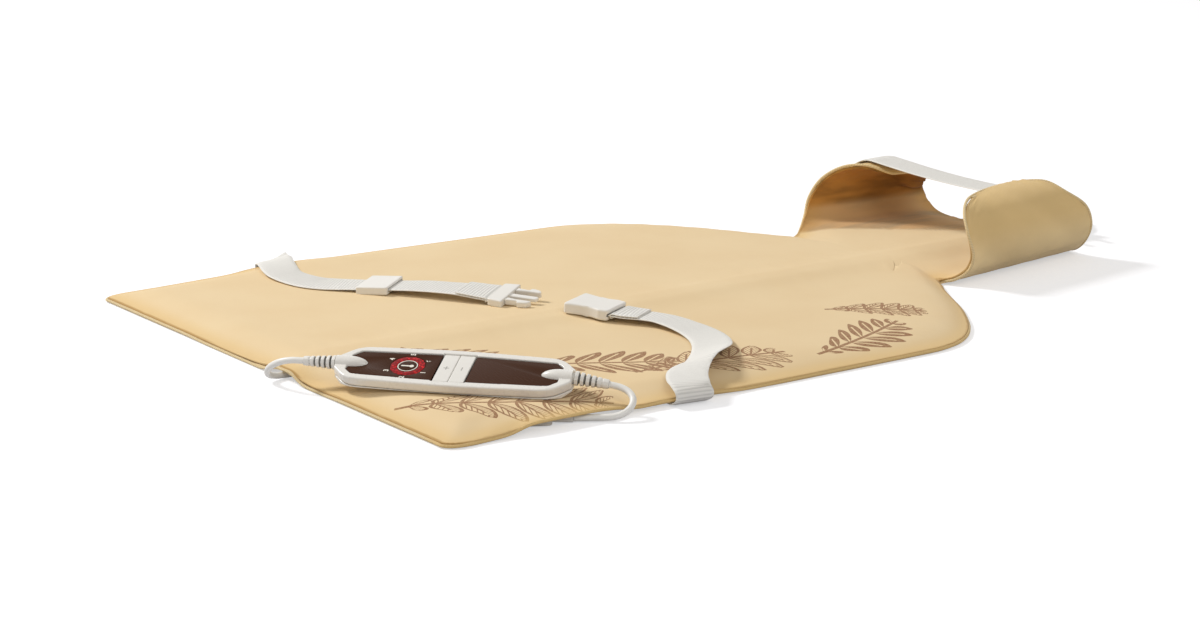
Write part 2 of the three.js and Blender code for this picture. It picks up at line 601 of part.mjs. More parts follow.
// The belt's fittings, each in the frame of the webbing where it sits: along, side and out
function frameAt(stations, index) {
  const [x, y, z, angle, tilt] = stations[index];
  const ahead = V(...stations[Math.min(index + 1, stations.length - 1)]);
  const behind = V(...stations[Math.max(index - 1, 0)]);
  const along = ahead.sub(behind).normalize();
  const [turn, lean] = [angle, tilt].map(THREE.MathUtils.degToRad);
  const side = V(Math.cos(turn) * Math.cos(lean), Math.sin(turn) * Math.cos(lean), Math.sin(lean));
  side.addScaledVector(along, -side.dot(along)).normalize();
  const group = new THREE.Group();
  group.applyMatrix4(new THREE.Matrix4().makeBasis(along, side, along.clone().cross(side)));
  group.position.set(x, y, z);
  root.add(group);
  return group;
}

const KEEPER_AT = 13;
const KEEPER_LENGTH = 22;
const KEEPER_WALL = 1.6;
const KEEPER_SIDE = 2.4;
const SLOT_CLEARANCE = 0.5;
const FITTING_EDGE = 0.5;
const FITTING_ROUND = 1.25;

function makeKeeper() {
  const group = frameAt(FAR_BELT, KEEPER_AT);
  const inner = V(KEEPER_LENGTH / 2 + OVERRUN, WEBBING_WIDTH / 2 + SLOT_CLEARANCE, WEBBING_THICKNESS / 2 + SLOT_CLEARANCE);
  const outer = V(KEEPER_LENGTH / 2, inner.y + KEEPER_SIDE, inner.z + KEEPER_WALL);
  const shape = roundedOutline([
    [-outer.x, -outer.y, FITTING_ROUND], [outer.x, -outer.y, FITTING_ROUND],
    [outer.x, outer.y, FITTING_ROUND], [-outer.x, outer.y, FITTING_ROUND],
  ]);
  const body = extruded(shape, -outer.z, outer.z, FITTING_EDGE);
  add("belt_keeper", cut(body, block(inner.clone().negate(), inner)), WHITE_PLASTIC, group);
}

// The buckle: a male half with two sprung arms and a guide prong, and a female half with its mouth
const BUCKLE_SIDE = 3;
const BUCKLE_WIDTH = WEBBING_WIDTH + 2 * BUCKLE_SIDE;
const BUCKLE_DEPTH = 7;
const BUCKLE_WALL = 1.5;
const BAR_LENGTH = 3.2;
const MALE_BASE = 11;
const PRONG_LENGTH = 19;
const ARM_WIDTH = 4.6;
const ARM_THICKNESS = 4;
const ARM_INWARD = 6.8;
const ARM_OFFSET = BUCKLE_WIDTH / 2 - ARM_INWARD;
const GUIDE_WIDTH = 4.4;
const FEMALE_LENGTH = 31;
const BASE_ROUND = 2;
const BASE_FRONT_ROUND = 1;
const PRONG_ROUND = 1.5;
const ARM_TIP_ROUND = 2;
const ARM_CATCH_ROUND = 0.6;
// The arm's corners: shares of the prong's length, and distances in from its outer or out from its inner face
const ARM_SHARES = { neck: 0.45, catch: 0.5, tip: 0.85, end: 0.96, inner: 0.7, root: 0.4 };
const ARM_WAIST = 1.4;
const ARM_CATCH = 1.6;
const ARM_TIP = 0.4;
const ARM_INSET = 1;
const ARM_ROOT = 3.6;
const WAIST_START = 6;
const WAIST_END = 13;
const WAIST_DEPTH = 3;
const WAIST_ROUND = 4;
const MOUTH_WALL = 4.2;
const MOUTH_ROUND = 3;
const BAR_WALL = 3;
const BAR_INSET = 2;
const SHOULDER_INSET = 1;

function makeMaleBuckle() {
  const group = frameAt(FAR_BELT, FAR_BELT.length - 1);
  const half = BUCKLE_WIDTH / 2;
  const depth = ARM_THICKNESS / 2 + FITTING_EDGE;
  const base = extruded(
    roundedOutline([
      [0, -half + BUCKLE_WALL, BASE_ROUND], [MALE_BASE, -half, BASE_FRONT_ROUND],
      [MALE_BASE, half, BASE_FRONT_ROUND], [0, half - BUCKLE_WALL, BASE_ROUND],
    ]),
    -depth, depth, FITTING_EDGE,
  );
  const slot = block(
    V(-OVERRUN, -WEBBING_WIDTH / 2 - SLOT_CLEARANCE, -WEBBING_THICKNESS / 2 - SLOT_CLEARANCE),
    V(MALE_BASE / 2, WEBBING_WIDTH / 2 + SLOT_CLEARANCE, WEBBING_THICKNESS / 2 + SLOT_CLEARANCE),
  );
  const guide = extruded(
    roundedOutline([
      [MALE_BASE - OVERRUN, -GUIDE_WIDTH / 2], [MALE_BASE + PRONG_LENGTH, -GUIDE_WIDTH / 2, PRONG_ROUND],
      [MALE_BASE + PRONG_LENGTH, GUIDE_WIDTH / 2, PRONG_ROUND], [MALE_BASE - OVERRUN, GUIDE_WIDTH / 2],
    ]),
    -ARM_THICKNESS / 3, ARM_THICKNESS / 3, FITTING_EDGE,
  );
  add("buckle_male_body", cut(joined(base, guide), slot), WHITE_PLASTIC, group);
  for (const [name, side] of [["buckle_arm_left", 1], ["buckle_arm_right", -1]]) {
    const at = (along, offset) => [MALE_BASE + along, side * offset];
    const inside = ARM_OFFSET - ARM_WIDTH / 2;
    const outside = ARM_OFFSET + ARM_WIDTH / 2;
    const shape = roundedOutline([
      at(GAP, inside), at(GAP, outside - FITTING_EDGE),
      at(PRONG_LENGTH * ARM_SHARES.neck, outside - ARM_WAIST),
      [...at(PRONG_LENGTH * ARM_SHARES.catch, outside + ARM_CATCH), ARM_CATCH_ROUND],
      [...at(PRONG_LENGTH * ARM_SHARES.tip, outside + ARM_TIP), ARM_TIP_ROUND],
      [...at(PRONG_LENGTH * ARM_SHARES.end, inside + ARM_INSET), PRONG_ROUND],
      at(PRONG_LENGTH * ARM_SHARES.inner, inside + ARM_INSET), at(PRONG_LENGTH * ARM_SHARES.root, outside - ARM_ROOT),
    ]);
    add(name, joined(extruded(shape, -ARM_THICKNESS / 2, ARM_THICKNESS / 2, FITTING_EDGE)), WHITE_PLASTIC, group);
  }
}

function makeFemaleBuckle() {
  const group = frameAt(NEAR_BELT, NEAR_BELT.length - 1);
  const half = BUCKLE_WIDTH / 2;
  const depth = BUCKLE_DEPTH / 2;
  const bar = BAR_LENGTH + BAR_WALL;
  const shape = roundedOutline([
    ...[[0, BAR_INSET, BASE_ROUND], [bar, SHOULDER_INSET, BASE_FRONT_ROUND], [bar + WAIST_START, WAIST_DEPTH, WAIST_ROUND],
      [bar + WAIST_END, WAIST_DEPTH, WAIST_ROUND], [FEMALE_LENGTH, 0, MOUTH_ROUND]]
      .map(([along, inset, round]) => [along, inset - half, round]),
    ...[[FEMALE_LENGTH, 0, MOUTH_ROUND], [bar + WAIST_END, WAIST_DEPTH, WAIST_ROUND],
      [bar + WAIST_START, WAIST_DEPTH, WAIST_ROUND], [bar, SHOULDER_INSET, BASE_FRONT_ROUND], [0, BAR_INSET, BASE_ROUND]]
      .map(([along, inset, round]) => [along, half - inset, round]),
  ]);
  const body = extruded(shape, -depth, depth, 2 * FITTING_EDGE, 2);
  const mouthHalf = half - MOUTH_WALL;
  const mouthDepth = ARM_THICKNESS / 2 + SLOT_CLEARANCE;
  const mouth = block(V(bar + BAR_WALL, -mouthHalf, -mouthDepth), V(FEMALE_LENGTH + OVERRUN, mouthHalf, mouthDepth));
  const slot = block(
    V(-OVERRUN, -WEBBING_WIDTH / 2 - SLOT_CLEARANCE, -WEBBING_THICKNESS / 2 - SLOT_CLEARANCE),
    V(bar - SHOULDER_INSET, WEBBING_WIDTH / 2 + SLOT_CLEARANCE, WEBBING_THICKNESS / 2 + SLOT_CLEARANCE),
  );
  add("buckle_female_body", cut(body, mouth, slot), WHITE_PLASTIC, group);
}

function makeBelt() {
  add("belt_webbing_far", strip(FAR_BELT, WEBBING_WIDTH, WEBBING_THICKNESS), WHITE_WEB);
  add("belt_webbing_near", strip(NEAR_BELT, WEBBING_WIDTH, WEBBING_THICKNESS), WHITE_WEB);
  makeKeeper();
  makeMaleBuckle();
  makeFemaleBuckle();
}

// The collar strap, sewn over the far wing and held inside the near wing by hook and loop
const STRAP_ALONG_SHARE = 0.912;
const STRAP_ALONG = HEM + STRAP_ALONG_SHARE * PAD_LENGTH;
const FAR_STRAP_SKEW = 3;
const NEAR_STRAP_SKEW = 9;
// Turns round the fold where each piece starts and ends, in degrees
const FAR_STRAP_TURNS = [140, 186];
const NEAR_STRAP_TURNS = [190, 150];
const LOOP_TURNS = [184, 146];
const HOOK_TURNS = [182, 152];
const FAR_STRAP_SHIFT = 9;
const PATCH_THICKNESS = 0.8;
const PATCH_WIDTH = 22;

function arcStations(side, y, radius, [fromTurn, toTurn], count, skew) {
  const centre = V(side * foldLine(side, y), y, curlRadius(side, y));
  return Array.from({ length: count }, (_, i) => {
    const turn = THREE.MathUtils.degToRad(lerp(fromTurn, toTurn, i / (count - 1)));
    const shift = side * radius * Math.sin(turn);
    return [centre.x + shift, centre.y + shift * Math.tan(THREE.MathUtils.degToRad(skew)),
      centre.z - radius * Math.cos(turn), 90 + skew, 0];
  });
}

function makeStrap() {
  const over = curlRadius(-1, STRAP_ALONG - FAR_STRAP_SHIFT - STRAP_WIDTH) + 3 * GAP + STRAP_THICKNESS / 2;
  const inner = NEAR_CURL_RADIUS - COLLAR_THICKNESS;
  const patch = inner - 3 * GAP - PATCH_THICKNESS / 2;
  const hook = patch - GAP - PATCH_THICKNESS;
  const under = hook - PATCH_THICKNESS / 2 - GAP - STRAP_THICKNESS / 2;
  const far = arcStations(-1, STRAP_ALONG - FAR_STRAP_SHIFT, over, FAR_STRAP_TURNS, 6, FAR_STRAP_SKEW);
  const near = arcStations(1, STRAP_ALONG, under, NEAR_STRAP_TURNS, 5, NEAR_STRAP_SKEW);
  const [, , farZ] = far.at(-1);
  const [, , nearZ] = near[0];
  const span = [1 / 4, 1 / 2, 3 / 4].map((t) => {
    const [x, y] = [lerp(far.at(-1)[0], near[0][0], t), lerp(far.at(-1)[1], near[0][1], t)];
    return [x, y, lerp(farZ, nearZ, t) - 2 * STRAP_THICKNESS * Math.sin(Math.PI * t), 90 + lerp(FAR_STRAP_SKEW, NEAR_STRAP_SKEW, t), 0];
  });
  add("collar_strap", strip([...far, ...span, ...near], STRAP_WIDTH, STRAP_THICKNESS), WHITE_WEB);
  add("loop_patch", strip(arcStations(1, STRAP_ALONG, patch, LOOP_TURNS, 6, NEAR_STRAP_SKEW), PATCH_WIDTH, PATCH_THICKNESS), WHITE_WEB);
  add("hook_patch", strip(arcStations(1, STRAP_ALONG, hook, HOOK_TURNS, 6, NEAR_STRAP_SKEW), PATCH_WIDTH, PATCH_THICKNESS), WHITE_WEB);
}

// The controller, built in its own frame with the panels' tops at c = 0
const controller = new THREE.Group();
{
  const along = V(Math.cos(CONTROLLER_YAW), Math.sin(CONTROLLER_YAW), 0);
  const level = V(-Math.sin(CONTROLLER_YAW), Math.cos(CONTROLLER_YAW), 0);
  const across = level.multiplyScalar(Math.cos(CONTROLLER_TILT)).addScaledVector(V(0, 0, 1), Math.sin(CONTROLLER_TILT));
  controller.applyMatrix4(new THREE.Matrix4().makeBasis(along, across, along.clone().cross(across)));
  controller.position.copy(CONTROLLER_AT);
  controller.position.addScaledVector(along, CONTROLLER_LEAD_REACH - CONTROLLER_LENGTH / 2);
  root.add(controller);
}
const END = CONTROLLER_LENGTH / 2;
const HALF = CONTROLLER_WIDTH / 2;
const SHOULDER_SHARE = 0.86;
const SHOULDER_HALF_SHARE = 0.87;
const SHOULDER = END * SHOULDER_SHARE;
const SHOULDER_HALF = HALF * SHOULDER_HALF_SHARE;
const NOSE_WALL = 2;
const END_HALF = NOSE_RADIUS + NOSE_WALL;
const END_ROUND = 1;
const SHOULDER_ROUND = 7;
const MIDDLE_ROUND = 30;
const PANEL_ROUND = 1.5;
const KEY_ROUND = 0.6;
const PANEL_BEZEL = 5.4;
const PANEL_TAPER = 2.4;
const PANEL_END_MARGIN = 8;
const PANEL_SHOULDER_MARGIN = 12.5;
const NOSE_REACH = 19.3;
const BORE_REACH = 16.5;
const CLAMP_REACH = 13.5;
const BELLY_RISE = 16.5;
const SCREW_MARGIN = 14.5;
const SCREW_OFFSET = 10;
const RING_CLEARANCE = 7.8;
const WEB_WALL = 1.1;
const KEY_STRIP = KEY_LENGTH + 2 * GAP;
const PANEL_HALF_MID = HALF - PANEL_BEZEL;
const PANEL_HALF_END = PANEL_HALF_MID - PANEL_TAPER;
const PANEL_SHOULDER = END - PANEL_SHOULDER_MARGIN;
const PANEL_END = END - PANEL_END_MARGIN;
const PANEL_END_HALF = 8;
const NOSE_TIP = END - NOSE_REACH;
const RING_AT = -(KEY_STRIP + RING_CLEARANCE + RING_RADIUS);
const WEB_LOW = -PANEL_THICKNESS - GAP - WEB_WALL;
const WEB_TOP = -PANEL_THICKNESS - GAP;
const BELLY_LOW = RIM_HEIGHT - CONTROLLER_DEPTH;
const BELLY_EDGE = 13;
const BELLY_EDGE_DROP = 2.5;
const BELLY_EDGE_LOW = -PARTING_DEPTH - BELLY_EDGE_DROP;
const BELLY_ROUND = 0.9;
const BELLY_END_DROP = 1.6;
const BELLY_END_ROUND = 6;
const BELLY_END_LOW = -PARTING_DEPTH - BELLY_END_DROP;
const BELLY_FLAT = END - BELLY_RISE;
const CORD_AXIS = -1;
const NOSE_TAPER = 10.8;
const NOSE_TAPER_SHARES = [1, 0.6, 0.3, 0.1];
const SHELL_EDGE = 0.6;
const PANEL_EDGE = 0.3;
const KEY_HALF = PANEL_HALF_MID - GAP;
const KEY_PROUD = 0.2;
const STEM_RADIUS = 1.6;
const RING_DEPTH = 0.8;
const BORE_END = END - BORE_REACH;
const BORE_RADIUS = 3.3;
const NECK_RADIUS = BORE_RADIUS - GAP;
const NECK_LENGTH = 16;
const RELIEF_RADIUS = 4.4;
const RELIEF_TIP_RADIUS = 2.75;
const RELIEF_SLOTS = 5;
const RELIEF_RIB_SHARE = 0.62;
const CLAMP_AT = END - CLAMP_REACH;
const CLAMP_SIZE = V(5, 9, 1.6);

// The circuit board and what it carries
const BOARD_THICKNESS = 1.2;
const BOARD_DROP = 2.6;
const BOARD_TOP = WEB_LOW - BOARD_DROP;
const BOARD_LOW = BOARD_TOP - BOARD_THICKNESS;
const BOARD_MARGIN = 21.5;
const BOARD_LENGTH = CONTROLLER_LENGTH - 2 * BOARD_MARGIN;
const BOARD_WIDTH = 19.4;
const BOARD_REST = 40;
const SWITCH_SIZE = V(6, 6, 1);
const STEM_LOW = BOARD_TOP + GAP + SWITCH_SIZE.z + KEY_TRAVEL + GAP / 3;
const LIGHT_SIZE = V(2, 1.6, 1);
const LIGHT_HOLE = 1.7;
const LIGHT_RADIUS = RING_RADIUS - RING_BAND / 2;
const LIGHT_PLACES = Array.from({ length: 6 }, (_, i) => {
  const turn = (Math.PI / 3) * (i + 1 / 2);
  return [RING_AT + LIGHT_RADIUS * Math.cos(turn), LIGHT_RADIUS * Math.sin(turn)];
});
const WINDOW_START = 15;
const WINDOW_END = 49;
const TRIAC_SIZE = V(9, 9, 3);
const CAPACITOR_SIZE = V(8, 14, 3.2);
const FUSE_SIZE = V(3, 10, 3);
const SCREW_AT = END - SCREW_MARGIN;
const SCREW_PLACES = [-1, 1].flatMap((end) => [-1, 1].map((side) => [end * SCREW_AT, side * SCREW_OFFSET]));
const BOSS_RADIUS = 2.9;
const SCREW_RADIUS = 1.1;
const SCREW_HEAD_RADIUS = 2;
const SCREW_HEAD_HEIGHT = 1;
const SCREW_SEAT = -6.6;

// The pad connector's tongue and pins
const PLUG_EDGE = 0.8;
const GRIP_ROUND = 3;
const GRIP_FRONT_ROUND = 1;
const SOCKET_ROUND = 4;
const LEAD_COLLAR_SHARE = 0.65;
const TONGUE_HALF = 5.4;
const TONGUE_DEPTH = 1.3;
const PIN_RADIUS = 0.6;
const PIN_REACH = 9;
const PIN_SEAT = 5;

// The coil's place and tie, and the mains plug
const CORD_SIDES = 8;
const STEPS_PER_TURN = 24;
const COIL_CENTRE = V(-10, 345, 2.5);
const TIE_ANGLE = THREE.MathUtils.degToRad(75);
const TIE_WIDTH = 6;
const TIE_THICKNESS = 0.3;
const TIE_CLEARANCE = 0.15;
const MAINS_PLUG_RELIEF = 16;
const MAINS_PLUG_LENGTH = 36;
const MAINS_PLUG_WIDTH = 35;
const MAINS_PLUG_HEIGHT = 13.6;
const MAINS_PLUG_EDGE = 1.6;
const MAINS_PLUG_ROUND = 5;
// Half the plug's outline: shares of its length, its half width and its rounding
const MAINS_PLUG_SHARES = [[0, 0.35, 0.6], [0.3, 0.48, 1], [0.75, 1, 0.8], [1, 1, 0.6]];
const MAINS_PIN_RADIUS = 2;
const MAINS_PIN_REACH = 19;
const MAINS_PIN_SEAT = 6;
const PIN_SPACING = 18.6;

const housingOutline = (inset) =>
  roundedOutline([
    [-END + inset, -END_HALF + inset / 2, END_ROUND], [-SHOULDER, -SHOULDER_HALF + inset, SHOULDER_ROUND],
    [0, -HALF + inset, MIDDLE_ROUND],
    [SHOULDER, -SHOULDER_HALF + inset, SHOULDER_ROUND], [END - inset, -END_HALF + inset / 2, END_ROUND],
    [END - inset, END_HALF - inset / 2, END_ROUND],
    [SHOULDER, SHOULDER_HALF - inset, SHOULDER_ROUND], [0, HALF - inset, MIDDLE_ROUND],
    [-SHOULDER, SHOULDER_HALF - inset, SHOULDER_ROUND],
    [-END + inset, END_HALF - inset / 2, END_ROUND],
  ]);

// A body of revolution about the cords' axis, from [a, radius] pairs.
function turned(side, profile, segments = 10) {
  const geometry = new THREE.LatheGeometry(profile.map(([a, radius]) => new THREE.Vector2(radius, a)), segments);
  return facingOut(geometry.rotateZ(-Math.PI / 2).scale(side, 1, 1).translate(0, 0, CORD_AXIS));
}

function noseSolid(side, grow = 0) {
  const radius = NOSE_RADIUS + grow;
  const tip = NOSE_TIP - grow;
  const profile = [[END - GAP, 0], [END - GAP, radius]];
  for (const share of NOSE_TAPER_SHARES)
    profile.push([tip + NOSE_TAPER * share, radius * Math.sqrt(1 - (1 - share) ** 2)]);
  return turned(side, [...profile, [tip, 0]], 14);
}

// A plate across the controller between two heights, within |a| and |b| limits
const slab = (aLow, aHigh, halfB, low, high) => block(V(aLow, -halfB, low), V(aHigh, halfB, high));

function disc(a, b, radius, low, high, segments = 10) {
  return new THREE.CylinderGeometry(radius, radius, high - low, segments)
    .rotateX(Math.PI / 2)
    .translate(a, b, (low + high) / 2);
}

// The belly: the casing's outline, its cross-section and its side view, each run through and kept where they meet
function bellyForm(inset, top) {
  const low = BELLY_LOW + inset;
  const column = extruded(housingOutline(inset), low, top);
  const across = roundedOutline([
    [-HALF - OVERRUN, top + OVERRUN], [-HALF - OVERRUN, -PARTING_DEPTH + inset], [-HALF, -PARTING_DEPTH + inset],
    [-BELLY_EDGE, BELLY_EDGE_LOW + inset], [-BELLY_EDGE / 2, low + inset / 2 + BELLY_ROUND],
    [0, low, BELLY_EDGE / 3], [BELLY_EDGE / 2, low + inset / 2 + BELLY_ROUND],
    [BELLY_EDGE, BELLY_EDGE_LOW + inset], [HALF, -PARTING_DEPTH + inset], [HALF + OVERRUN, -PARTING_DEPTH + inset],
    [HALF + OVERRUN, top + OVERRUN],
  ]);
  const section = extruded(across, -END - OVERRUN, END + OVERRUN).rotateX(Math.PI / 2).rotateZ(Math.PI / 2);
  const along = roundedOutline([
    [-END - OVERRUN, top + OVERRUN], [-END - OVERRUN, BELLY_END_LOW + inset], [-END, BELLY_END_LOW + inset],
    [-BELLY_FLAT, low, BELLY_END_ROUND], [BELLY_FLAT, low, BELLY_END_ROUND], [END, BELLY_END_LOW + inset],
    [END + OVERRUN, BELLY_END_LOW + inset], [END + OVERRUN, top + OVERRUN],
  ]);
  const sideView = extruded(along, -HALF - OVERRUN, HALF + OVERRUN).rotateX(Math.PI / 2);
  return common(column, section, sideView);
}

function makeShells() {
  const parting = -PARTING_DEPTH;
  const window = slab(WINDOW_START, WINDOW_END, BOARD_WIDTH / 2 - OVERRUN, WEB_LOW - OVERRUN, 0);
  const keyWell = slab(-KEY_STRIP - GAP, KEY_STRIP + GAP, PANEL_HALF_MID + GAP, WEB_LOW - OVERRUN, RIM_HEIGHT + OVERRUN);
  const recess = extruded(panelsOutline(GAP), WEB_TOP, RIM_HEIGHT + OVERRUN);
  const hollow = extruded(housingOutline(HOUSING_WALL), parting - OVERRUN, WEB_LOW);
  const shell = cut(extruded(housingOutline(0), parting + GAP / 2, RIM_HEIGHT, SHELL_EDGE, 1), recess, hollow, window, keyWell);
  const bosses = SCREW_PLACES.map(([a, b]) => disc(a, b, BOSS_RADIUS, parting + GAP / 2, WEB_LOW + GAP));
  const bores = [-1, 1].map((side) =>
    turned(side, [[BORE_END, 0], [BORE_END, BORE_RADIUS], [END + OVERRUN, BORE_RADIUS], [END + OVERRUN, 0]]));
  const pilots = SCREW_PLACES.map(([a, b]) => disc(a, b, SCREW_RADIUS + GAP, parting - OVERRUN, WEB_LOW - GAP));
  const lights = LIGHT_PLACES.map(([a, b]) => disc(a, b, LIGHT_HOLE, WEB_LOW - OVERRUN, WEB_TOP + GAP, 8));
  const above = slab(-END, END, HALF, parting + GAP / 2, HALF);
  const noses = [-1, 1].map((side) => common(noseSolid(side), above));
  const clampTop = CORD_AXIS - BORE_RADIUS;
  const pockets = [-1, 1].map((side) =>
    block(
      V(side * (CLAMP_AT + CLAMP_SIZE.x / 2) - CLAMP_SIZE.x / 2 - GAP, -CLAMP_SIZE.y / 2 - GAP, parting - OVERRUN),
      V(side * (CLAMP_AT + CLAMP_SIZE.x / 2) + CLAMP_SIZE.x / 2 + GAP, CLAMP_SIZE.y / 2 + GAP, clampTop + GAP),
    ));
  const upper = cut(joined(shell, ...noses, ...bosses), ...bores, ...pilots, ...lights, ...pockets);
  add("upper_housing", upper, WHITE_PLASTIC, controller);

  const outer = bellyForm(0, parting - GAP / 2);
  const inner = bellyForm(HOUSING_WALL, parting + OVERRUN);
  const posts = SCREW_PLACES.map(([a, b]) => disc(a, b, BOSS_RADIUS, BELLY_LOW, parting - GAP / 2));
  const rests = [-BOARD_REST, BOARD_REST].map((a) =>
    slab(a - HOUSING_WALL / 2, a + HOUSING_WALL / 2, BOARD_WIDTH / 2, BELLY_LOW, BOARD_LOW - GAP));
  const inside = common(joined(posts[0], ...posts.slice(1), ...rests), outer);
  const shafts = SCREW_PLACES.map(([a, b]) => disc(a, b, SCREW_RADIUS + GAP, BELLY_LOW - OVERRUN, 0));
  const heads = SCREW_PLACES.map(([a, b]) =>
    disc(a, b, SCREW_HEAD_RADIUS + GAP, BELLY_LOW - OVERRUN, SCREW_SEAT));
  add("lower_housing", cut(joined(cut(outer, inner), inside), ...shafts, ...heads), WHITE_PLASTIC, controller);
  SCREW_PLACES.forEach(([a, b], i) => {
    const head = disc(a, b, SCREW_HEAD_RADIUS, SCREW_SEAT - SCREW_HEAD_HEIGHT - GAP, SCREW_SEAT - GAP);
    const shaft = disc(a, b, SCREW_RADIUS, SCREW_SEAT - SCREW_HEAD_HEIGHT, WEB_LOW - 2 * GAP);
    add(`housing_screw_${i + 1}`, joined(head, shaft), METAL, controller);
  });
}

// One outline round both panels and the keys, and the same cut down to one panel
const panelsOutline = (grow) =>
  roundedOutline([
    [-PANEL_END - grow, -PANEL_END_HALF - grow / 2], [-PANEL_SHOULDER - grow / 2, -PANEL_HALF_END - grow, PANEL_ROUND],
    [0, -PANEL_HALF_MID - grow, MIDDLE_ROUND], [PANEL_SHOULDER + grow / 2, -PANEL_HALF_END - grow, PANEL_ROUND],
    [PANEL_END + grow, -PANEL_END_HALF - grow / 2], [PANEL_END + grow, PANEL_END_HALF + grow / 2],
    [PANEL_SHOULDER + grow / 2, PANEL_HALF_END + grow, PANEL_ROUND], [0, PANEL_HALF_MID + grow, MIDDLE_ROUND],
    [-PANEL_SHOULDER - grow / 2, PANEL_HALF_END + grow, PANEL_ROUND], [-PANEL_END - grow, PANEL_END_HALF + grow / 2],
  ]);

function makePanels() {
  const whole = () => extruded(panelsOutline(0), -PANEL_THICKNESS, 0, PANEL_EDGE);
  const keep = (from, to) => slab(from, to, HALF, -PANEL_THICKNESS - OVERRUN, RIM_HEIGHT);
  const ring = (low, grow) =>
    cut(
      disc(RING_AT, 0, RING_RADIUS + grow, low, RIM_HEIGHT, 24),
      disc(RING_AT, 0, RING_RADIUS - RING_BAND - grow, low - OVERRUN, RIM_HEIGHT + OVERRUN, 24),
    );
  const display = common(whole(), keep(-END, -KEY_STRIP - GAP));
  add("display_panel", cut(display, noseSolid(-1, GAP), ring(-RING_DEPTH - GAP, GAP)), BROWN_PANEL, controller);
  const blank = common(whole(), keep(KEY_STRIP + GAP, END));
  add("blank_panel", cut(blank, noseSolid(1, GAP)), BROWN_PANEL, controller);
  add("light_ring", common(ring(-RING_DEPTH, 0), keep(-END, 0), block(V(-END, -HALF, -END), V(0, HALF, 0))), RED_LIGHT, controller);
  for (const [name, side] of [["key_plus", -1], ["key_minus", 1]]) {
    const [near, far] = [side * (GAP / 2), side * KEY_LENGTH].sort((a, b) => a - b);
    const plate = extruded(
      roundedOutline([
        [near, -KEY_HALF, KEY_ROUND], [far, -KEY_HALF, KEY_ROUND], [far, KEY_HALF, KEY_ROUND], [near, KEY_HALF, KEY_ROUND],
      ]),
      -PANEL_THICKNESS, KEY_PROUD, PANEL_EDGE,
    );
    const stem = disc((side * KEY_LENGTH) / 2, 0, STEM_RADIUS, STEM_LOW, -PANEL_THICKNESS + GAP);
    add(name, joined(plate, stem), WHITE_PLASTIC, controller);
  }
}

function makeElectronics() {
  add("circuit_board", slab(-BOARD_LENGTH / 2, BOARD_LENGTH / 2, BOARD_WIDTH / 2, BOARD_LOW, BOARD_TOP), BOARD, controller);
  const onBoard = (name, a, b, size, material) => {
    const low = BOARD_TOP + GAP;
    add(name, block(V(a - size.x / 2, b - size.y / 2, low), V(a + size.x / 2, b + size.y / 2, low + size.z)), material, controller);
  };
  LIGHT_PLACES.forEach(([a, b], i) => onBoard(`led_${i + 1}`, a, b, LIGHT_SIZE, WHITE_PLASTIC));
  onBoard("key_switch_plus", -KEY_LENGTH / 2, 0, SWITCH_SIZE, DARK);
  onBoard("key_switch_minus", KEY_LENGTH / 2, 0, SWITCH_SIZE, DARK);
  const [first, second, third] = [1 / 5, 1 / 2, 4 / 5].map((share) => lerp(WINDOW_START, WINDOW_END, share));
  onBoard("power_triac", first, 0, TRIAC_SIZE, DARK);
  onBoard("film_capacitor", second, 0, CAPACITOR_SIZE, RED_LIGHT);
  onBoard("board_fuse", third, 0, FUSE_SIZE, METAL);
}

// Each strain relief: a slotted, tapered boot outside the casing and a neck inside it, held by a clamp
function makeRelief(side, reliefName, clampName, droop) {
  const start = END + GAP + RELIEF_RADIUS * Math.sin(droop);
  const profile = [[0, 0]];
  const step = RELIEF_LENGTH / (RELIEF_SLOTS + 1);
  for (let i = 0; i <= RELIEF_SLOTS; i++) {
    const [from, to] = [i * step, (i + RELIEF_RIB_SHARE) * step];
    const radiusAt = (a) => lerp(RELIEF_RADIUS, RELIEF_TIP_RADIUS, a / RELIEF_LENGTH);
    profile.push([from, radiusAt(from)], [to, radiusAt(to)]);
    if (i < RELIEF_SLOTS) profile.push([to, RELIEF_TIP_RADIUS], [from + step, RELIEF_TIP_RADIUS]);
  }
  profile.push([RELIEF_LENGTH, RELIEF_TIP_RADIUS], [RELIEF_LENGTH, 0]);
  const boot = turned(side, profile).translate(0, 0, -CORD_AXIS).rotateY(side * droop).translate(side * start, 0, CORD_AXIS);
  const neck = turned(side, [
    [END - NECK_LENGTH, 0], [END - NECK_LENGTH, NECK_RADIUS], [start + OVERRUN, NECK_RADIUS], [start + OVERRUN, 0],
  ]);
  add(reliefName, joined(boot, neck), WHITE_PLASTIC, controller);
  const [near, far] = [side * CLAMP_AT, side * (CLAMP_AT + CLAMP_SIZE.x)].sort((a, b) => a - b);
  const low = CORD_AXIS - BORE_RADIUS - CLAMP_SIZE.z;
  add(clampName, slab(near, far, CLAMP_SIZE.y / 2, low, low + CLAMP_SIZE.z), DARK, controller);
}

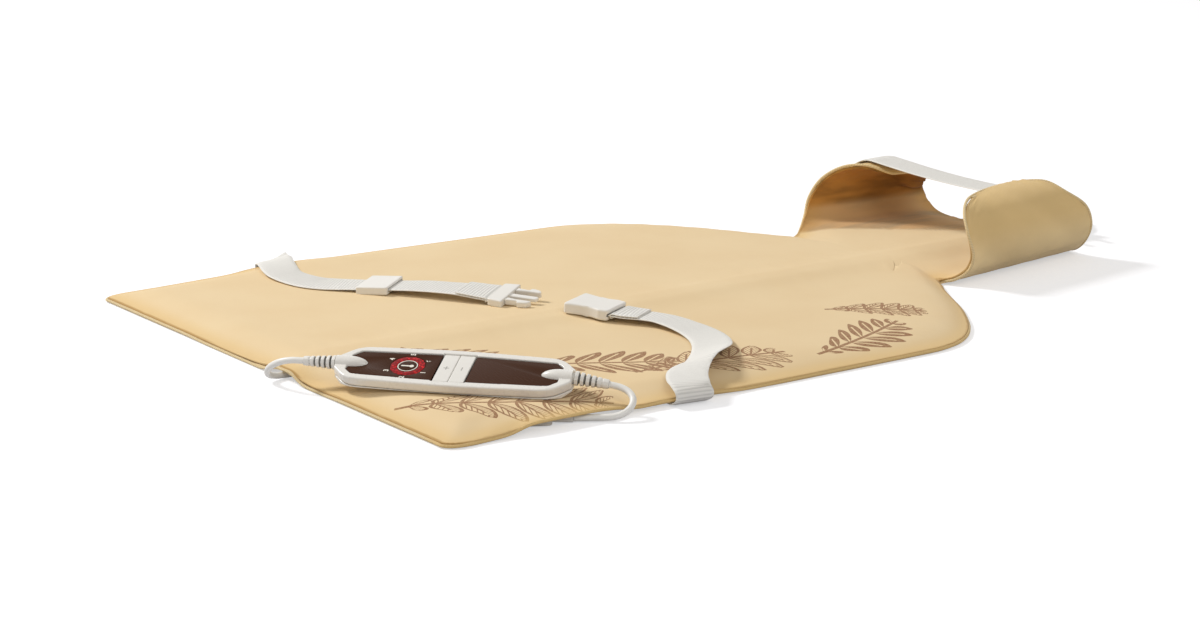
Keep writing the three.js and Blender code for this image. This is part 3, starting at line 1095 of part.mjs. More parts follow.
// The pad's socket and the lead's plug, in a frame that runs along the plug
function makeConnector() {
  const group = new THREE.Group();
  group.rotation.z = Math.atan2(PLUG_AXIS.y, PLUG_AXIS.x);
  group.position.copy(PLUG_START);
  root.add(group);
  const half = PLUG_HEIGHT / 2;
  const gripEnd = PLUG_RELIEF + PLUG_GRIP;
  const relief = loft([
    ringAcross(0, LEAD_DIAMETER * LEAD_COLLAR_SHARE, LEAD_DIAMETER * LEAD_COLLAR_SHARE),
    ringAcross(PLUG_RELIEF + OVERRUN, PLUG_WIDTH / 3, half - PLUG_EDGE),
  ]);
  const grip = extruded(
    roundedOutline([
      [PLUG_RELIEF, -PLUG_WIDTH / 2 + PLUG_EDGE, GRIP_ROUND], [gripEnd, -PLUG_WIDTH / 2, GRIP_FRONT_ROUND],
      [gripEnd, PLUG_WIDTH / 2, GRIP_FRONT_ROUND], [PLUG_RELIEF, PLUG_WIDTH / 2 - PLUG_EDGE, GRIP_ROUND],
    ]),
    -half, half, PLUG_EDGE / 2,
  );
  const tongue = block(V(gripEnd - OVERRUN, -TONGUE_HALF, -TONGUE_DEPTH), V(gripEnd + PLUG_TONGUE, TONGUE_HALF, TONGUE_DEPTH));
  const pinLine = (low, high, radius, side) =>
    new THREE.CylinderGeometry(radius, radius, high - low, 8).rotateZ(Math.PI / 2)
      .translate((low + high) / 2, (side * TONGUE_HALF) / 2, 0);
  const mouth = gripEnd + GAP;
  const end = mouth + SOCKET_LENGTH;
  const back = gripEnd + PLUG_TONGUE + GAP;
  const holes = [-1, 1].map((side) => pinLine(back - PIN_REACH, back + OVERRUN, PIN_RADIUS + GAP, side));
  add("lead_plug", cut(joined(grip, relief, tongue), ...holes), WHITE_PLASTIC, group);
  const body = extruded(
    roundedOutline([
      [mouth, -SOCKET_WIDTH / 2, GRIP_FRONT_ROUND], [end, -SOCKET_WIDTH / 2, SOCKET_ROUND],
      [end, SOCKET_WIDTH / 2, SOCKET_ROUND], [mouth, SOCKET_WIDTH / 2, GRIP_FRONT_ROUND],
    ]),
    -half, half, PLUG_EDGE / 2,
  );
  const hollow = block(V(mouth - OVERRUN, -TONGUE_HALF - GAP, -TONGUE_DEPTH - GAP), V(back, TONGUE_HALF + GAP, TONGUE_DEPTH + GAP));
  const seats = [-1, 1].map((side) => pinLine(back - OVERRUN, back + PIN_SEAT, PIN_RADIUS + GAP, side));
  add("pad_socket", cut(body, hollow, ...seats), DARK, group);
  [["socket_pin_a", -1], ["socket_pin_b", 1]].forEach(([name, side]) =>
    add(name, pinLine(back - PIN_REACH + GAP, back + PIN_SEAT - GAP, PIN_RADIUS, side), METAL, group));
}

function ringAcross(x, halfY, halfZ, sides = 12) {
  return Array.from({ length: sides }, (_, k) => {
    const turn = (2 * Math.PI * k) / sides;
    return V(x, halfY * Math.cos(turn), halfZ * Math.sin(turn));
  });
}

// A free cord: a round section run along its points
function cordAlong(points, diameter, steps) {
  const section = new THREE.Shape();
  for (let k = 0; k < CORD_SIDES; k++) {
    const turn = (2 * Math.PI * k) / CORD_SIDES;
    const [x, y] = [(diameter / 2) * Math.cos(turn), (diameter / 2) * Math.sin(turn)];
    if (k) section.lineTo(x, y);
    else section.moveTo(x, y);
  }
  section.closePath();
  const path = new THREE.CatmullRomCurve3(toPoints(points), false, "centripetal");
  return new THREE.ExtrudeGeometry(section, { steps, bevelEnabled: false, extrudePath: path });
}

// The put-away coil: it winds in, climbs a layer in the half turn where it reverses, and winds out again
function coilPoints() {
  const middle = COIL_TURNS / 2;
  const outer = COIL_MEAN_RADIUS + (COIL_PITCH * middle) / 2;
  const start = V(COIL_CENTRE.x + outer, COIL_CENTRE.y - MAINS_DIAMETER, COIL_CENTRE.z);
  const points = [start];
  const steps = Math.round(COIL_TURNS * STEPS_PER_TURN);
  for (let i = 0; i <= steps; i++) {
    const turns = (i / steps) * COIL_TURNS;
    const radius = outer - COIL_PITCH * (middle - Math.abs(turns - middle));
    const angle = 2 * Math.PI * turns;
    const climb = COIL_PITCH * smooth((turns - middle) * 2 + 1 / 2);
    points.push(V(COIL_CENTRE.x + radius * Math.cos(angle), COIL_CENTRE.y + radius * Math.sin(angle), COIL_CENTRE.z + climb));
  }
  const angle = 2 * Math.PI * COIL_TURNS;
  points.push(points.at(-1).clone().add(V(-Math.sin(angle), Math.cos(angle), 0).multiplyScalar(MAINS_DIAMETER)));
  return points;
}

function leastGap(points, diameter, apart) {
  let least = Infinity;
  for (let i = 0; i < points.length; i++)
    for (let j = i + apart; j < points.length; j++) least = Math.min(least, points[i].distanceTo(points[j]));
  return least - diameter;
}

function makeMains() {
  add("mains_cord", cordAlong(MAINS_POINTS, MAINS_DIAMETER, 56), WHITE_PLASTIC);
  const coil = coilPoints();
  const gap = leastGap(coil, MAINS_DIAMETER, STEPS_PER_TURN / 3);
  console.log(`coil: least gap to itself ${gap.toFixed(2)} mm`);
  add("mains_cord_coil", tubeThrough(coil, MAINS_DIAMETER / 2, 6), WHITE_PLASTIC);
  add("mains_cord_tail", cordAlong(TAIL_POINTS, MAINS_DIAMETER, 12), WHITE_PLASTIC);
  add("pad_lead", cordAlong(LEAD_POINTS, LEAD_DIAMETER, 12), WHITE_PLASTIC);
}

// The tie is a flat band once round the coil's section
function makeTie() {
  const half = (COIL_PITCH * COIL_TURNS) / 4 + MAINS_DIAMETER / 2;
  const group = new THREE.Group();
  group.rotation.z = TIE_ANGLE;
  group.position.copy(COIL_CENTRE).add(V(Math.cos(TIE_ANGLE), Math.sin(TIE_ANGLE), 0).multiplyScalar(COIL_MEAN_RADIUS));
  root.add(group);
  const [low, high] = [-MAINS_DIAMETER / 2 - TIE_CLEARANCE, COIL_PITCH + MAINS_DIAMETER / 2 + TIE_CLEARANCE];
  const outside = half + 2 * GAP + TIE_THICKNESS;
  const inside = half + 2 * GAP;
  const band = (reach, from, to, width, round) =>
    extruded(roundedOutline([[-reach, from, round], [reach, from, round], [reach, to, round], [-reach, to, round]]), -width, width)
      .rotateX(Math.PI / 2);
  const outer = band(outside, low - TIE_THICKNESS, high + TIE_THICKNESS, TIE_WIDTH / 2, MAINS_DIAMETER / 2);
  const inner = band(inside, low, high, TIE_WIDTH, MAINS_DIAMETER / 2 - TIE_THICKNESS);
  add("coil_tie", cut(outer, inner), WHITE_WEB, group);
}

// The flat two-pin mains plug lies on the coil
function makeMainsPlug() {
  const group = new THREE.Group();
  group.position.set(...TAIL_POINTS.at(-1)).add(V(GAP, 0, 0));
  root.add(group);
  const half = MAINS_PLUG_HEIGHT / 2;
  const wide = MAINS_PLUG_WIDTH / 2;
  const end = MAINS_PLUG_RELIEF + MAINS_PLUG_LENGTH;
  const relief = loft([
    ringAcross(0, MAINS_DIAMETER * LEAD_COLLAR_SHARE, MAINS_DIAMETER * LEAD_COLLAR_SHARE),
    ringAcross(MAINS_PLUG_RELIEF + OVERRUN, MAINS_DIAMETER, MAINS_DIAMETER),
  ]);
  const at = (share) => lerp(MAINS_PLUG_RELIEF, end, share);
  const body = extruded(
    roundedOutline([
      ...MAINS_PLUG_SHARES.map(([along, across, round]) => [at(along), -wide * across, round * MAINS_PLUG_ROUND]),
      ...MAINS_PLUG_SHARES.map(([along, across, round]) => [at(along), wide * across, round * MAINS_PLUG_ROUND]).reverse(),
    ]),
    -half, half, MAINS_PLUG_EDGE, 2,
  );
  const pin = (side, low, high, radius, segments) =>
    new THREE.CylinderGeometry(radius, radius, high - low, segments).rotateZ(Math.PI / 2)
      .translate((low + high) / 2, (side * PIN_SPACING) / 2, 0);
  const seats = [-1, 1].map((side) => pin(side, end - MAINS_PIN_SEAT, end + OVERRUN, MAINS_PIN_RADIUS + GAP, 12));
  add("mains_plug", cut(joined(body, relief), ...seats), WHITE_PLASTIC, group);
  [["plug_pin_a", -1], ["plug_pin_b", 1]].forEach(([name, side]) =>
    add(name, pin(side, end - MAINS_PIN_SEAT + GAP, end + MAINS_PIN_REACH, MAINS_PIN_RADIUS, 12), METAL, group));
}

makePad();
makeBelt();
makeStrap();
makeShells();
makePanels();
makeElectronics();
makeRelief(-1, "mains_relief", "cord_clamp_mains", 0);
makeRelief(1, "lead_relief", "cord_clamp_pad", LEAD_RELIEF_DROOP);
makeConnector();
makeMains();
makeTie();
makeMainsPlug();

export default root;
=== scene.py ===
"""Looks for a heating pad with its hand controller, belt, collar strap and mains lead."""

import math

import bmesh
import bpy
from bpy.props import FloatProperty, FloatVectorProperty, IntProperty, PointerProperty
from mathutils import Matrix, Vector, kdtree, noise


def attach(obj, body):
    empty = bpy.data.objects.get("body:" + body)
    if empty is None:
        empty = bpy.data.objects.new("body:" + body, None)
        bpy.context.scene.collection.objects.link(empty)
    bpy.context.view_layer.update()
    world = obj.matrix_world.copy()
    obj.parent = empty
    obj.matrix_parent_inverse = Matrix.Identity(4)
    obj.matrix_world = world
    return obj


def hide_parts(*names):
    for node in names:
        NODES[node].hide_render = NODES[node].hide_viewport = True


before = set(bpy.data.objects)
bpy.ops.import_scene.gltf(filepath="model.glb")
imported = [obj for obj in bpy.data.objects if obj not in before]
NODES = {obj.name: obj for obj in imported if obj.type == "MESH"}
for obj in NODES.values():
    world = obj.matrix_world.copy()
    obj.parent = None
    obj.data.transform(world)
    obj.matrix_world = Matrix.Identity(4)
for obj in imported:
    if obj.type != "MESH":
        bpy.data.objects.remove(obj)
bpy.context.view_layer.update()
MM = 0.001

bl_info = {
    "name": "Heating pad with controller",
    "version": (1, 0, 0),
    "blender": (4, 5, 0),
    "location": "3D View > Sidebar > Heating pad",
    "description": "Cloth, webbing, moulded pieces, cords and stage of a heating pad",
    "category": "Object",
}

# The camera solved from the pad's outline
CAMERA_PLACE = Vector((1.53630, -1.15703, 0.47805))
CAMERA_TARGET = Vector((0.01286, -0.06607, 0.0))
CAMERA_LENS = 89.535
CAMERA_SENSOR = 36.0

# The controller's own frame: along it, across it and out of its panels
CASE_PLACE = Vector((130, -254, 20)) * MM
CASE_YAW = math.radians(40.8)
CASE_TILT = math.radians(15.8)
CASE_END = 71.5 * MM
CORD_AXIS = -1 * MM
RELIEF_LENGTH = 20 * MM
RELIEF_DROOP = math.radians(8)
RELIEF_RADII = (4.4 * MM, 2.75 * MM)
NOSE_RADIUS = 4.62 * MM
NOSE_REACH = 19.4 * MM
NOSE_TAPER = 11.5 * MM
NOSE_WALL = 0.8 * MM
DIAL_AT = -28.1 * MM
KEY_AT = 4.7 * MM
KEY_TOP = 0.2 * MM

# Cord routes in millimetres, as the CAD model has them
MAINS_POINTS = [
    (60.1, -314.0, 19.0), (54.5, -318.7, 18.8), (48.8, -322.4, 17.3), (42.7, -324.0, 14.5),
    (37.0, -324.4, 11.0), (32.6, -323.0, 7.0), (29.4, -319.5, 4.2), (27.8, -313.5, 2.6),
    (27.2, -305.0, 2.1), (27.4, -290.0, 2.0), (28.0, -260.0, 2.0), (28.0, -200.0, 2.0),
    (28.0, -100.0, 2.0), (28.0, 0.0, 2.0), (28.0, 100.0, 2.0), (28.0, 200.0, 2.0),
    (27.4, 240.0, 2.0), (25.8, 280.0, 2.0), (23.8, 310.0, 2.1), (22.6, 330.0, 2.4), (22.3, 340.7, 2.5),
]
TAIL_POINTS = [
    (-35.9, 364.8, 7.0), (-38.8, 361.9, 7.2), (-41.3, 359.4, 7.8), (-44.0, 356.0, 8.8),
    (-45.6, 351.8, 10.2), (-45.9, 347.4, 11.6), (-45.2, 343.0, 13.0), (-43.4, 339.2, 14.2),
    (-40.6, 335.8, 15.2), (-37.2, 333.4, 15.8), (-33.6, 332.2, 16.1), (-30.0, 332.0, 16.15),
]
LEAD_POINTS = [
    (199.3, -192.8, 16.3), (204.4, -188.9, 15.3), (209.6, -187.0, 13.6), (214.4, -187.4, 11.3),
    (217.9, -190.0, 8.6), (219.4, -194.0, 6.0), (219.0, -198.6, 4.1), (216.8, -203.0, 3.0),
    (213.2, -208.0, 2.6), (209.0, -214.6, 2.6), (204.6, -222.0, 2.6),
]
COIL_CENTRE = Vector((-10, 345, 2.5))
COIL_MEAN_RADIUS = 24
COIL_TURNS = 7.375
COIL_PITCH = 4.5
COIL_STEPS_PER_TURN = 24
CORD_DIAMETER = 4 * MM

# The flat strips: node, width and thickness
WEBBING = [
    ("belt_webbing_far", 25 * MM, 1.1 * MM),
    ("belt_webbing_near", 25 * MM, 1.1 * MM),
    ("collar_strap", 25 * MM, 1.0 * MM),
]
PATCHES = [("loop_patch", 22 * MM, 0.8 * MM), ("hook_patch", 22 * MM, 0.8 * MM)]
FOLDED_AT = {"belt_webbing_far": "buckle_male_body", "belt_webbing_near": "buckle_female_body"}

# The printed sprigs: root x and y, heading in degrees, length, half spread, bend, leaf pairs, filled or not
SPRIGS = [
    (138, -300, 50, 124, 30, 0.16, 8, False),
    (112, -196, 66, 96, 25, -0.12, 7, True),
    (166, -150, 92, 104, 25, -0.14, 7, False),
    (190, -30, 100, 92, 22, 0.14, 7, True),
    (112, 40, 62, 64, 16, -0.2, 6, False),
    (42, -236, 30, 62, 15, 0.2, 6, True),
]

# The pad's covers and rim
COLLAR_FRONT = 168 * MM
COLLAR_BLEND = 30 * MM
COVER_WALL = 1.8 * MM
RIM_STEP = 3 * MM
PIPING_SIDES = 10

# The wings: where they leave the pad, where their creases gather, and how far the hem holds the waves down
WING_FOOT = 9 * MM
WING_BLEND = 14 * MM
CREASE_LINE = 185 * MM
CREASE_SPREAD = 38 * MM
HEM_HOLD = 26 * MM
GATHER_HEIGHT = 1.1 * MM
GATHER_REACH = 10 * MM

# The painted shade where the far wing shades the floor: its slanting border, the border's width and the
# shade's depth
FAR_SHADE_START = -88 * MM
FAR_SHADE_SLOPE = 0.85
FAR_SHADE_BLEND = 9 * MM
FAR_SHADE_DEPTH = 0.62

# The far wing's rear corner hangs down beyond these places
DROOP_SIDE = -40 * MM
DROOP_REAR = 264 * MM
DROOP_HEIGHT = 22 * MM

# The near long edge, in millimetres: where its fainter painted seam shade and golder binding fade in across
# the pad, and in and out along it
NEAR_EDGE = (170, 204)
NEAR_EDGE_FROM = (-306, -292)
NEAR_EDGE_TO = (170, 190)

# The webbing's sewn end: its length, its distances from the buckle, its width and the radius of its turn
SEWN_LENGTH = 24 * MM
SEWN_GAP = 3 * MM
TURN_GAP = 2.2 * MM
SEWN_WIDTH_SHARE = 0.985
TURN_RADIUS_SHARE = 1.15
TURN_STEPS = 6

# The dial and the keys' marks
DIAL_RADIUS = 12.9 * MM
DIAL_START = 240
CIRCLE_RADII = (6.0 * MM, 5.45 * MM)
MARK_LOW = -0.02 * MM
MARK_HIGH = 0.05 * MM
STROKE_HALF = 0.35 * MM
STROKE_REACH = 1.7 * MM

# Each lamp: its way from the target to the right, away from the camera and up, and its size, in metres
KEY_LAMP = (-2.4, 1.1, 2.4, 0.8)
FILL_LAMP = (1.4, -3.2, 2.6, 2.4)
FLOOR_HALF = 6
FLOOR_DROP = 0.2 * MM
FLOOR_GLOW = 0.5


def screen(red, green, blue):
    """A screen colour as scene-linear values."""
    shares = [value / 255 for value in (red, green, blue)]
    return [s / 12.92 if s <= 0.04045 else ((s + 0.055) / 1.055) ** 2.4 for s in shares]


def colour(name, description, *rgb):
    return FloatVectorProperty(
        name=name, description=description, default=screen(*rgb), subtype="COLOR", size=3, min=0, max=1
    )


def length(name, description, default):
    return FloatProperty(name=name, description=description, default=default, unit="LENGTH", precision=5)


def power(name, description, default):
    return FloatProperty(name=name, description=description, default=default, unit="POWER")


class PadSettings(bpy.types.PropertyGroup):
    cream: colour("Fleece", "Colour of the printed upper cloth", 236, 212, 170)
    shade: colour("Fleece shade", "Colour of the fleece where its nap lies darker", 229, 201, 156)
    ochre: colour("Lining", "Colour of the cloth on the underside and the wings' outsides", 252, 224, 170)
    wing_shade_colour: colour("Lining in the fold", "Colour of the cloth inside the far wing", 176, 124, 58)
    # Painted shade: this colour darkens the fleece inside the wings and where the far wing shades the floor,
    # streaked lighter and darker along creases as painted light and shade
    gold: colour("Edge", "Colour that the fleece takes towards its edge", 226, 190, 124)
    # Painted shade in the sunk seam line round the fleece
    seam_shade: colour("Groove", "Colour of the sunk seam line", 170, 128, 66)
    binding: colour("Binding", "Colour of the bound edge", 236, 214, 168)
    print_brown: colour("Print", "Colour of the printed sprigs", 150, 106, 70)
    piping_radius: length("Piping radius", "Half the thickness of the sewn edge", 1.0 * MM)
    ripple: length("Ripple", "Height of the soft waves in the cloth", 0.5 * MM)
    crease_height: length("Crease", "Height of the creases in the wings", 2.2 * MM)
    droop: length("Droop", "How far the far wing's rear corner hangs down", 15 * MM)
    swelling: length("Swelling", "How far the padding presses the fleece up", 0.4 * MM)
    pucker_pitch: length("Pucker pitch", "Distance between the gathers along the collar's seams", 11 * MM)


class WebbingSettings(bpy.types.PropertyGroup):
    white: colour("Webbing", "Colour of the belt and the collar strap", 240, 238, 233)
    rib_pitch: length("Rib pitch", "Distance between the ribs that run across the webbing", 2.2 * MM)
    rib_height: length("Rib height", "Height of one rib", 0.2 * MM)


class ControllerSettings(bpy.types.PropertyGroup):
    white: colour("Casing", "Colour of the casing, the keys and the reliefs", 233, 230, 224)
    brown: colour("Panels", "Colour of the two glossy panels", 64, 34, 14)
    red: colour("Light ring", "Colour of the lit ring", 200, 22, 28)
    marks: colour("Marks", "Colour of the numbers and the other marks", 252, 246, 234)
    voxel: length("Mould grain", "Fineness of the moulded forms", 0.28 * MM)
    numeral_height: length("Numeral height", "Height of the numbers round the dial", 3.1 * MM)
    levels: IntProperty(
        name="Heat levels", description="How many numbers stand round the dial", default=6, min=1, max=9
    )


class CordSettings(bpy.types.PropertyGroup):
    sheath: colour("Sheath", "Colour of the cords and the mains plug", 238, 236, 231)
    grain: length("Cord grain", "Distance between the points along a cord", 2.5 * MM)


class StageSettings(bpy.types.PropertyGroup):
    floor: colour("Floor", "Colour of the floor", 208, 208, 212)
    haze: colour("Haze", "Colour of the light from all round", 255, 251, 244)
    key_power: power("Key lamp", "Power of the main lamp", 90.0)
    fill_power: power("Fill lamp", "Power of the lamp beside the camera", 36.0)
    sky: FloatProperty(name="Sky", description="Strength of the light from all round", default=0.4, min=0)


SETTINGS = {
    "pad_cloth": PadSettings,
    "pad_webbing": WebbingSettings,
    "pad_controller": ControllerSettings,
    "pad_cords": CordSettings,
    "pad_stage": StageSettings,
}


def settings(name):
    return getattr(bpy.context.scene, name)


# Shader maths
class Value:
    """A socket whose value varies over a surface. Arithmetic on it adds Math nodes."""

    def __init__(self, finish, socket):
        self.finish = finish
        self.socket = socket

    def maths(self, operation, *operands):
        return self.finish.node("ShaderNodeMath", {"operation": operation}, dict(enumerate(operands)))

    def __add__(self, other):
        return self.maths("ADD", self, other)

    def __sub__(self, other):
        return self.maths("SUBTRACT", self, other)

    def __rsub__(self, other):
        return self.maths("SUBTRACT", other, self)

    def __mul__(self, other):
        return self.maths("MULTIPLY", self, other)

    def __truediv__(self, other):
        return self.maths("DIVIDE", self, other)

    def __abs__(self):
        return self.maths("ABSOLUTE", self)

    def __lt__(self, other):
        return self.maths("LESS_THAN", self, other)

    def __gt__(self, other):
        return self.maths("GREATER_THAN", self, other)

    __radd__ = __add__
    __rmul__ = __mul__

    def wave(self):
        return self.maths("SINE", self)

    def fraction(self):
        return self.maths("FRACT", self)

    def most(self, other):
        return self.maths("MAXIMUM", self, other)

    def between(self, low, high):
        """How far the value has come from low to high, as a smooth share."""
        limits = {"Value": self, "From Min": low, "From Max": high}
        return self.finish.node("ShaderNodeMapRange", {"interpolation_type": "SMOOTHSTEP"}, limits)


class Finish:
    """A material, its constants set on the shader's own sockets."""

    def __init__(self, name, **constants):
        self.material = bpy.data.materials.new(name)
        self.material.use_nodes = True
        self.tree = self.material.node_tree
        self.shader = self.tree.nodes["Principled BSDF"]
        for name, value in constants.items():
            self.set(name.replace("_", " ").title().replace("Ior", "IOR"), value)

    def link(self, value, socket):
        if isinstance(value, Value):
            self.tree.links.new(value.socket, socket)
        elif hasattr(value, "__len__") and socket.type == "RGBA":
            socket.default_value = (*value[:3], 1)
        else:
            socket.default_value = value

    def set(self, socket, value):
        self.link(value, self.shader.inputs[socket])

    def node(self, kind, choices=None, values=None, output=0):
        made = self.tree.nodes.new(kind)
        for name, choice in (choices or {}).items():
            setattr(made, name, choice)
        for socket, value in (values or {}).items():
            self.link(value, made.inputs[socket])
        return Value(self, made.outputs[output])

    def mix(self, mask, low, high):
        return self.node("ShaderNodeMix", {"data_type": "RGBA"}, {0: mask, 6: low, 7: high}, output=2)

    def place(self):
        return self.node("ShaderNodeTexCoord", output=3)

    def measure(self, vector, direction, start=(0, 0, 0)):
        """How far a place lies from start along a direction."""
        moved = self.node("ShaderNodeVectorMath", {"operation": "SUBTRACT"}, {0: vector, 1: start})
        values = {0: moved, 1: direction}
        return self.node("ShaderNodeVectorMath", {"operation": "DOT_PRODUCT"}, values, output=1)

    def painted(self, name):
        return self.node("ShaderNodeAttribute", {"attribute_name": name}, output=2)

    def mottle(self, scale, detail=2, rough=0.5, vector=None):
        values = {"Scale": scale, "Detail": detail, "Roughness": rough, "Vector": vector or self.place()}
        return self.node("ShaderNodeTexNoise", None, values)

    def bump(self, height, distance, strength=1.0):
        values = {"Strength": strength, "Distance": distance, "Height": height}
        self.set("Normal", self.node("ShaderNodeBump", None, values))


def darker(rgb, share):
    return [value * share for value in rgb]


# Mesh helpers
def catmull_rom(points, step):
    """Points at short steps along the smooth line through the given ones."""
    ends = [2 * points[0] - points[1], *points, 2 * points[-1] - points[-2]]
    line = []
    for p0, p1, p2, p3 in zip(ends, ends[1:], ends[2:], ends[3:]):
        t1 = (p1 - p0).length ** 0.5
        t2 = t1 + (p2 - p1).length ** 0.5
        t3 = t2 + (p3 - p2).length ** 0.5
        count = max(1, math.ceil((p2 - p1).length / step))
        for k in range(count):
            t = t1 + (t2 - t1) * k / count
            a1 = p0.lerp(p1, t / t1)
            a2 = p1.lerp(p2, (t - t1) / (t2 - t1))
            a3 = p2.lerp(p3, (t - t2) / (t3 - t2))
            b1 = a1.lerp(a2, t / t2)
            b2 = a2.lerp(a3, (t - t1) / (t3 - t1))
            line.append(b1.lerp(b2, (t - t1) / (t2 - t1)))
    line.append(points[-1].copy())
    return line


def smooth_share(t):
    t = min(max(t, 0), 1)
    return t * t * (3 - 2 * t)


def put(name, data):
    """A new object in the scene."""
    made = bpy.data.objects.new(name, data)
    bpy.context.scene.collection.objects.link(made)
    return made


def give(piece, finish):
    """Let a finish be the only one on a piece."""
    piece.data.materials.clear()
    piece.data.materials.append(finish.material)


def add_piece(name, mesh, finish, node=None, body="pad"):
    """A new piece with a finish, riding on a body. It may stand in for a CAD node."""
    piece = put(name, mesh)
    give(piece, finish)
    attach(piece, body)
    if node:
        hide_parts(node)
    return piece


def smoothed(mesh, sharp):
    """The mesh shaded smooth, apart from edges sharper than an angle in degrees."""
    mesh.shade_smooth()
    mesh.set_sharp_from_angle(angle=math.radians(sharp))
    return mesh


def settled(holder):
    """The mesh of an object that is removed, as its modifiers and settings leave it."""
    graph = bpy.context.evaluated_depsgraph_get()
    mesh = bpy.data.meshes.new_from_object(holder.evaluated_get(graph))
    bpy.data.objects.remove(holder)
    return mesh


def rounded_mesh(name, points, faces, sharp=40):
    mesh = bpy.data.meshes.new(name)
    mesh.from_pydata([tuple(point) for point in points], [], faces)
    return smoothed(mesh, sharp)


def welded(node):
    """A CAD node's mesh with its split corners joined again."""
    form = bmesh.new()
    form.from_mesh(NODES[node].data)
    bmesh.ops.remove_doubles(form, verts=form.verts, dist=0.002 * MM)
    form.verts.ensure_lookup_table()
    return form


def to_mesh(name, form, sharp=40):
    mesh = bpy.data.meshes.new(name)
    form.to_mesh(mesh)
    form.free()
    return smoothed(mesh, sharp)


def modified(mesh, steps):
    """The mesh with modifiers applied: each step is a kind and its settings."""
    holder = put("holder", mesh)
    for kind, values in steps:
        modifier = holder.modifiers.new(kind.lower(), kind)
        for name, value in values.items():
            setattr(modifier, name, value)
    return settled(holder)


def bevelled(node, width, segments=3):
    """A CAD node's form with its edges rounded."""
    form = welded(node)
    bmesh.ops.dissolve_limit(form, angle_limit=math.radians(1), verts=form.verts, edges=form.edges)
    bevel = {
        "width": width, "segments": segments, "limit_method": "ANGLE", "angle_limit": math.radians(32),
        "use_clamp_overlap": True, "harden_normals": False,
    }
    return smoothed(modified(to_mesh(node, form), [("BEVEL", bevel)]), 50)


def moulded(node, voxel, passes, keep=0.4):
    """A CAD node's form as a moulding: every edge is eased and every facet runs into the next."""
    steps = [
        ("REMESH", {"mode": "VOXEL", "voxel_size": voxel}),
        ("SMOOTH", {"factor": 0.5, "iterations": passes}),
        ("DECIMATE", {"ratio": keep}),
    ]
    mesh = modified(to_mesh(node, welded(node)), steps)
    mesh.shade_smooth()
    return mesh


def ring_faces(count, sides, closed=False):
    """The faces between rings of points. A row of rings that isn't closed is capped at both ends."""
    faces = []
    for i in range(count if closed else count - 1):
        ring, following = i * sides, (i + 1) % count * sides
        for k in range(sides):
            after = (k + 1) % sides
            faces.append((ring + k, ring + after, following + after, following + k))
    if not closed:
        faces.append(tuple(range(sides))[::-1])
        faces.append(tuple(range((count - 1) * sides, count * sides)))
    return faces


def ring_tube(name, line, radius, sides):
    """A round tube along a closed line, its rings carried along without twist."""
    points = []
    across = None
    count = len(line)
    for i, point in enumerate(line):
        along = (line[(i + 1) % count] - line[i - 1]).normalized()
        across = across or Vector((0, 0, 1)).cross(along)
        across = (across - across.dot(along) * along).normalized()
        other = along.cross(across)
        for k in range(sides):
            turn = 2 * math.pi * k / sides
            points.append(point + radius * (across * math.cos(turn) + other * math.sin(turn)))
    return rounded_mesh(name, points, ring_faces(count, sides, closed=True))


def paint(mesh, name, values):
    """Keep one number for each point of a mesh, for its finish."""
    mesh.attributes.new(name, "FLOAT", "POINT").data.foreach_set("value", values)


def case_frame():
    """The controller's own frame, in metres."""
    along = Vector((math.cos(CASE_YAW), math.sin(CASE_YAW), 0))
    level = Vector((-math.sin(CASE_YAW), math.cos(CASE_YAW), 0))
    across = level * math.cos(CASE_TILT) + Vector((0, 0, 1)) * math.sin(CASE_TILT)
    matrix = Matrix((along, across, along.cross(across))).transposed().to_4x4()
    matrix.translation = CASE_PLACE
    return matrix


CASE = case_frame()
ALONG, ACROSS, OUT = [CASE.to_3x3().col[i].copy() for i in range(3)]


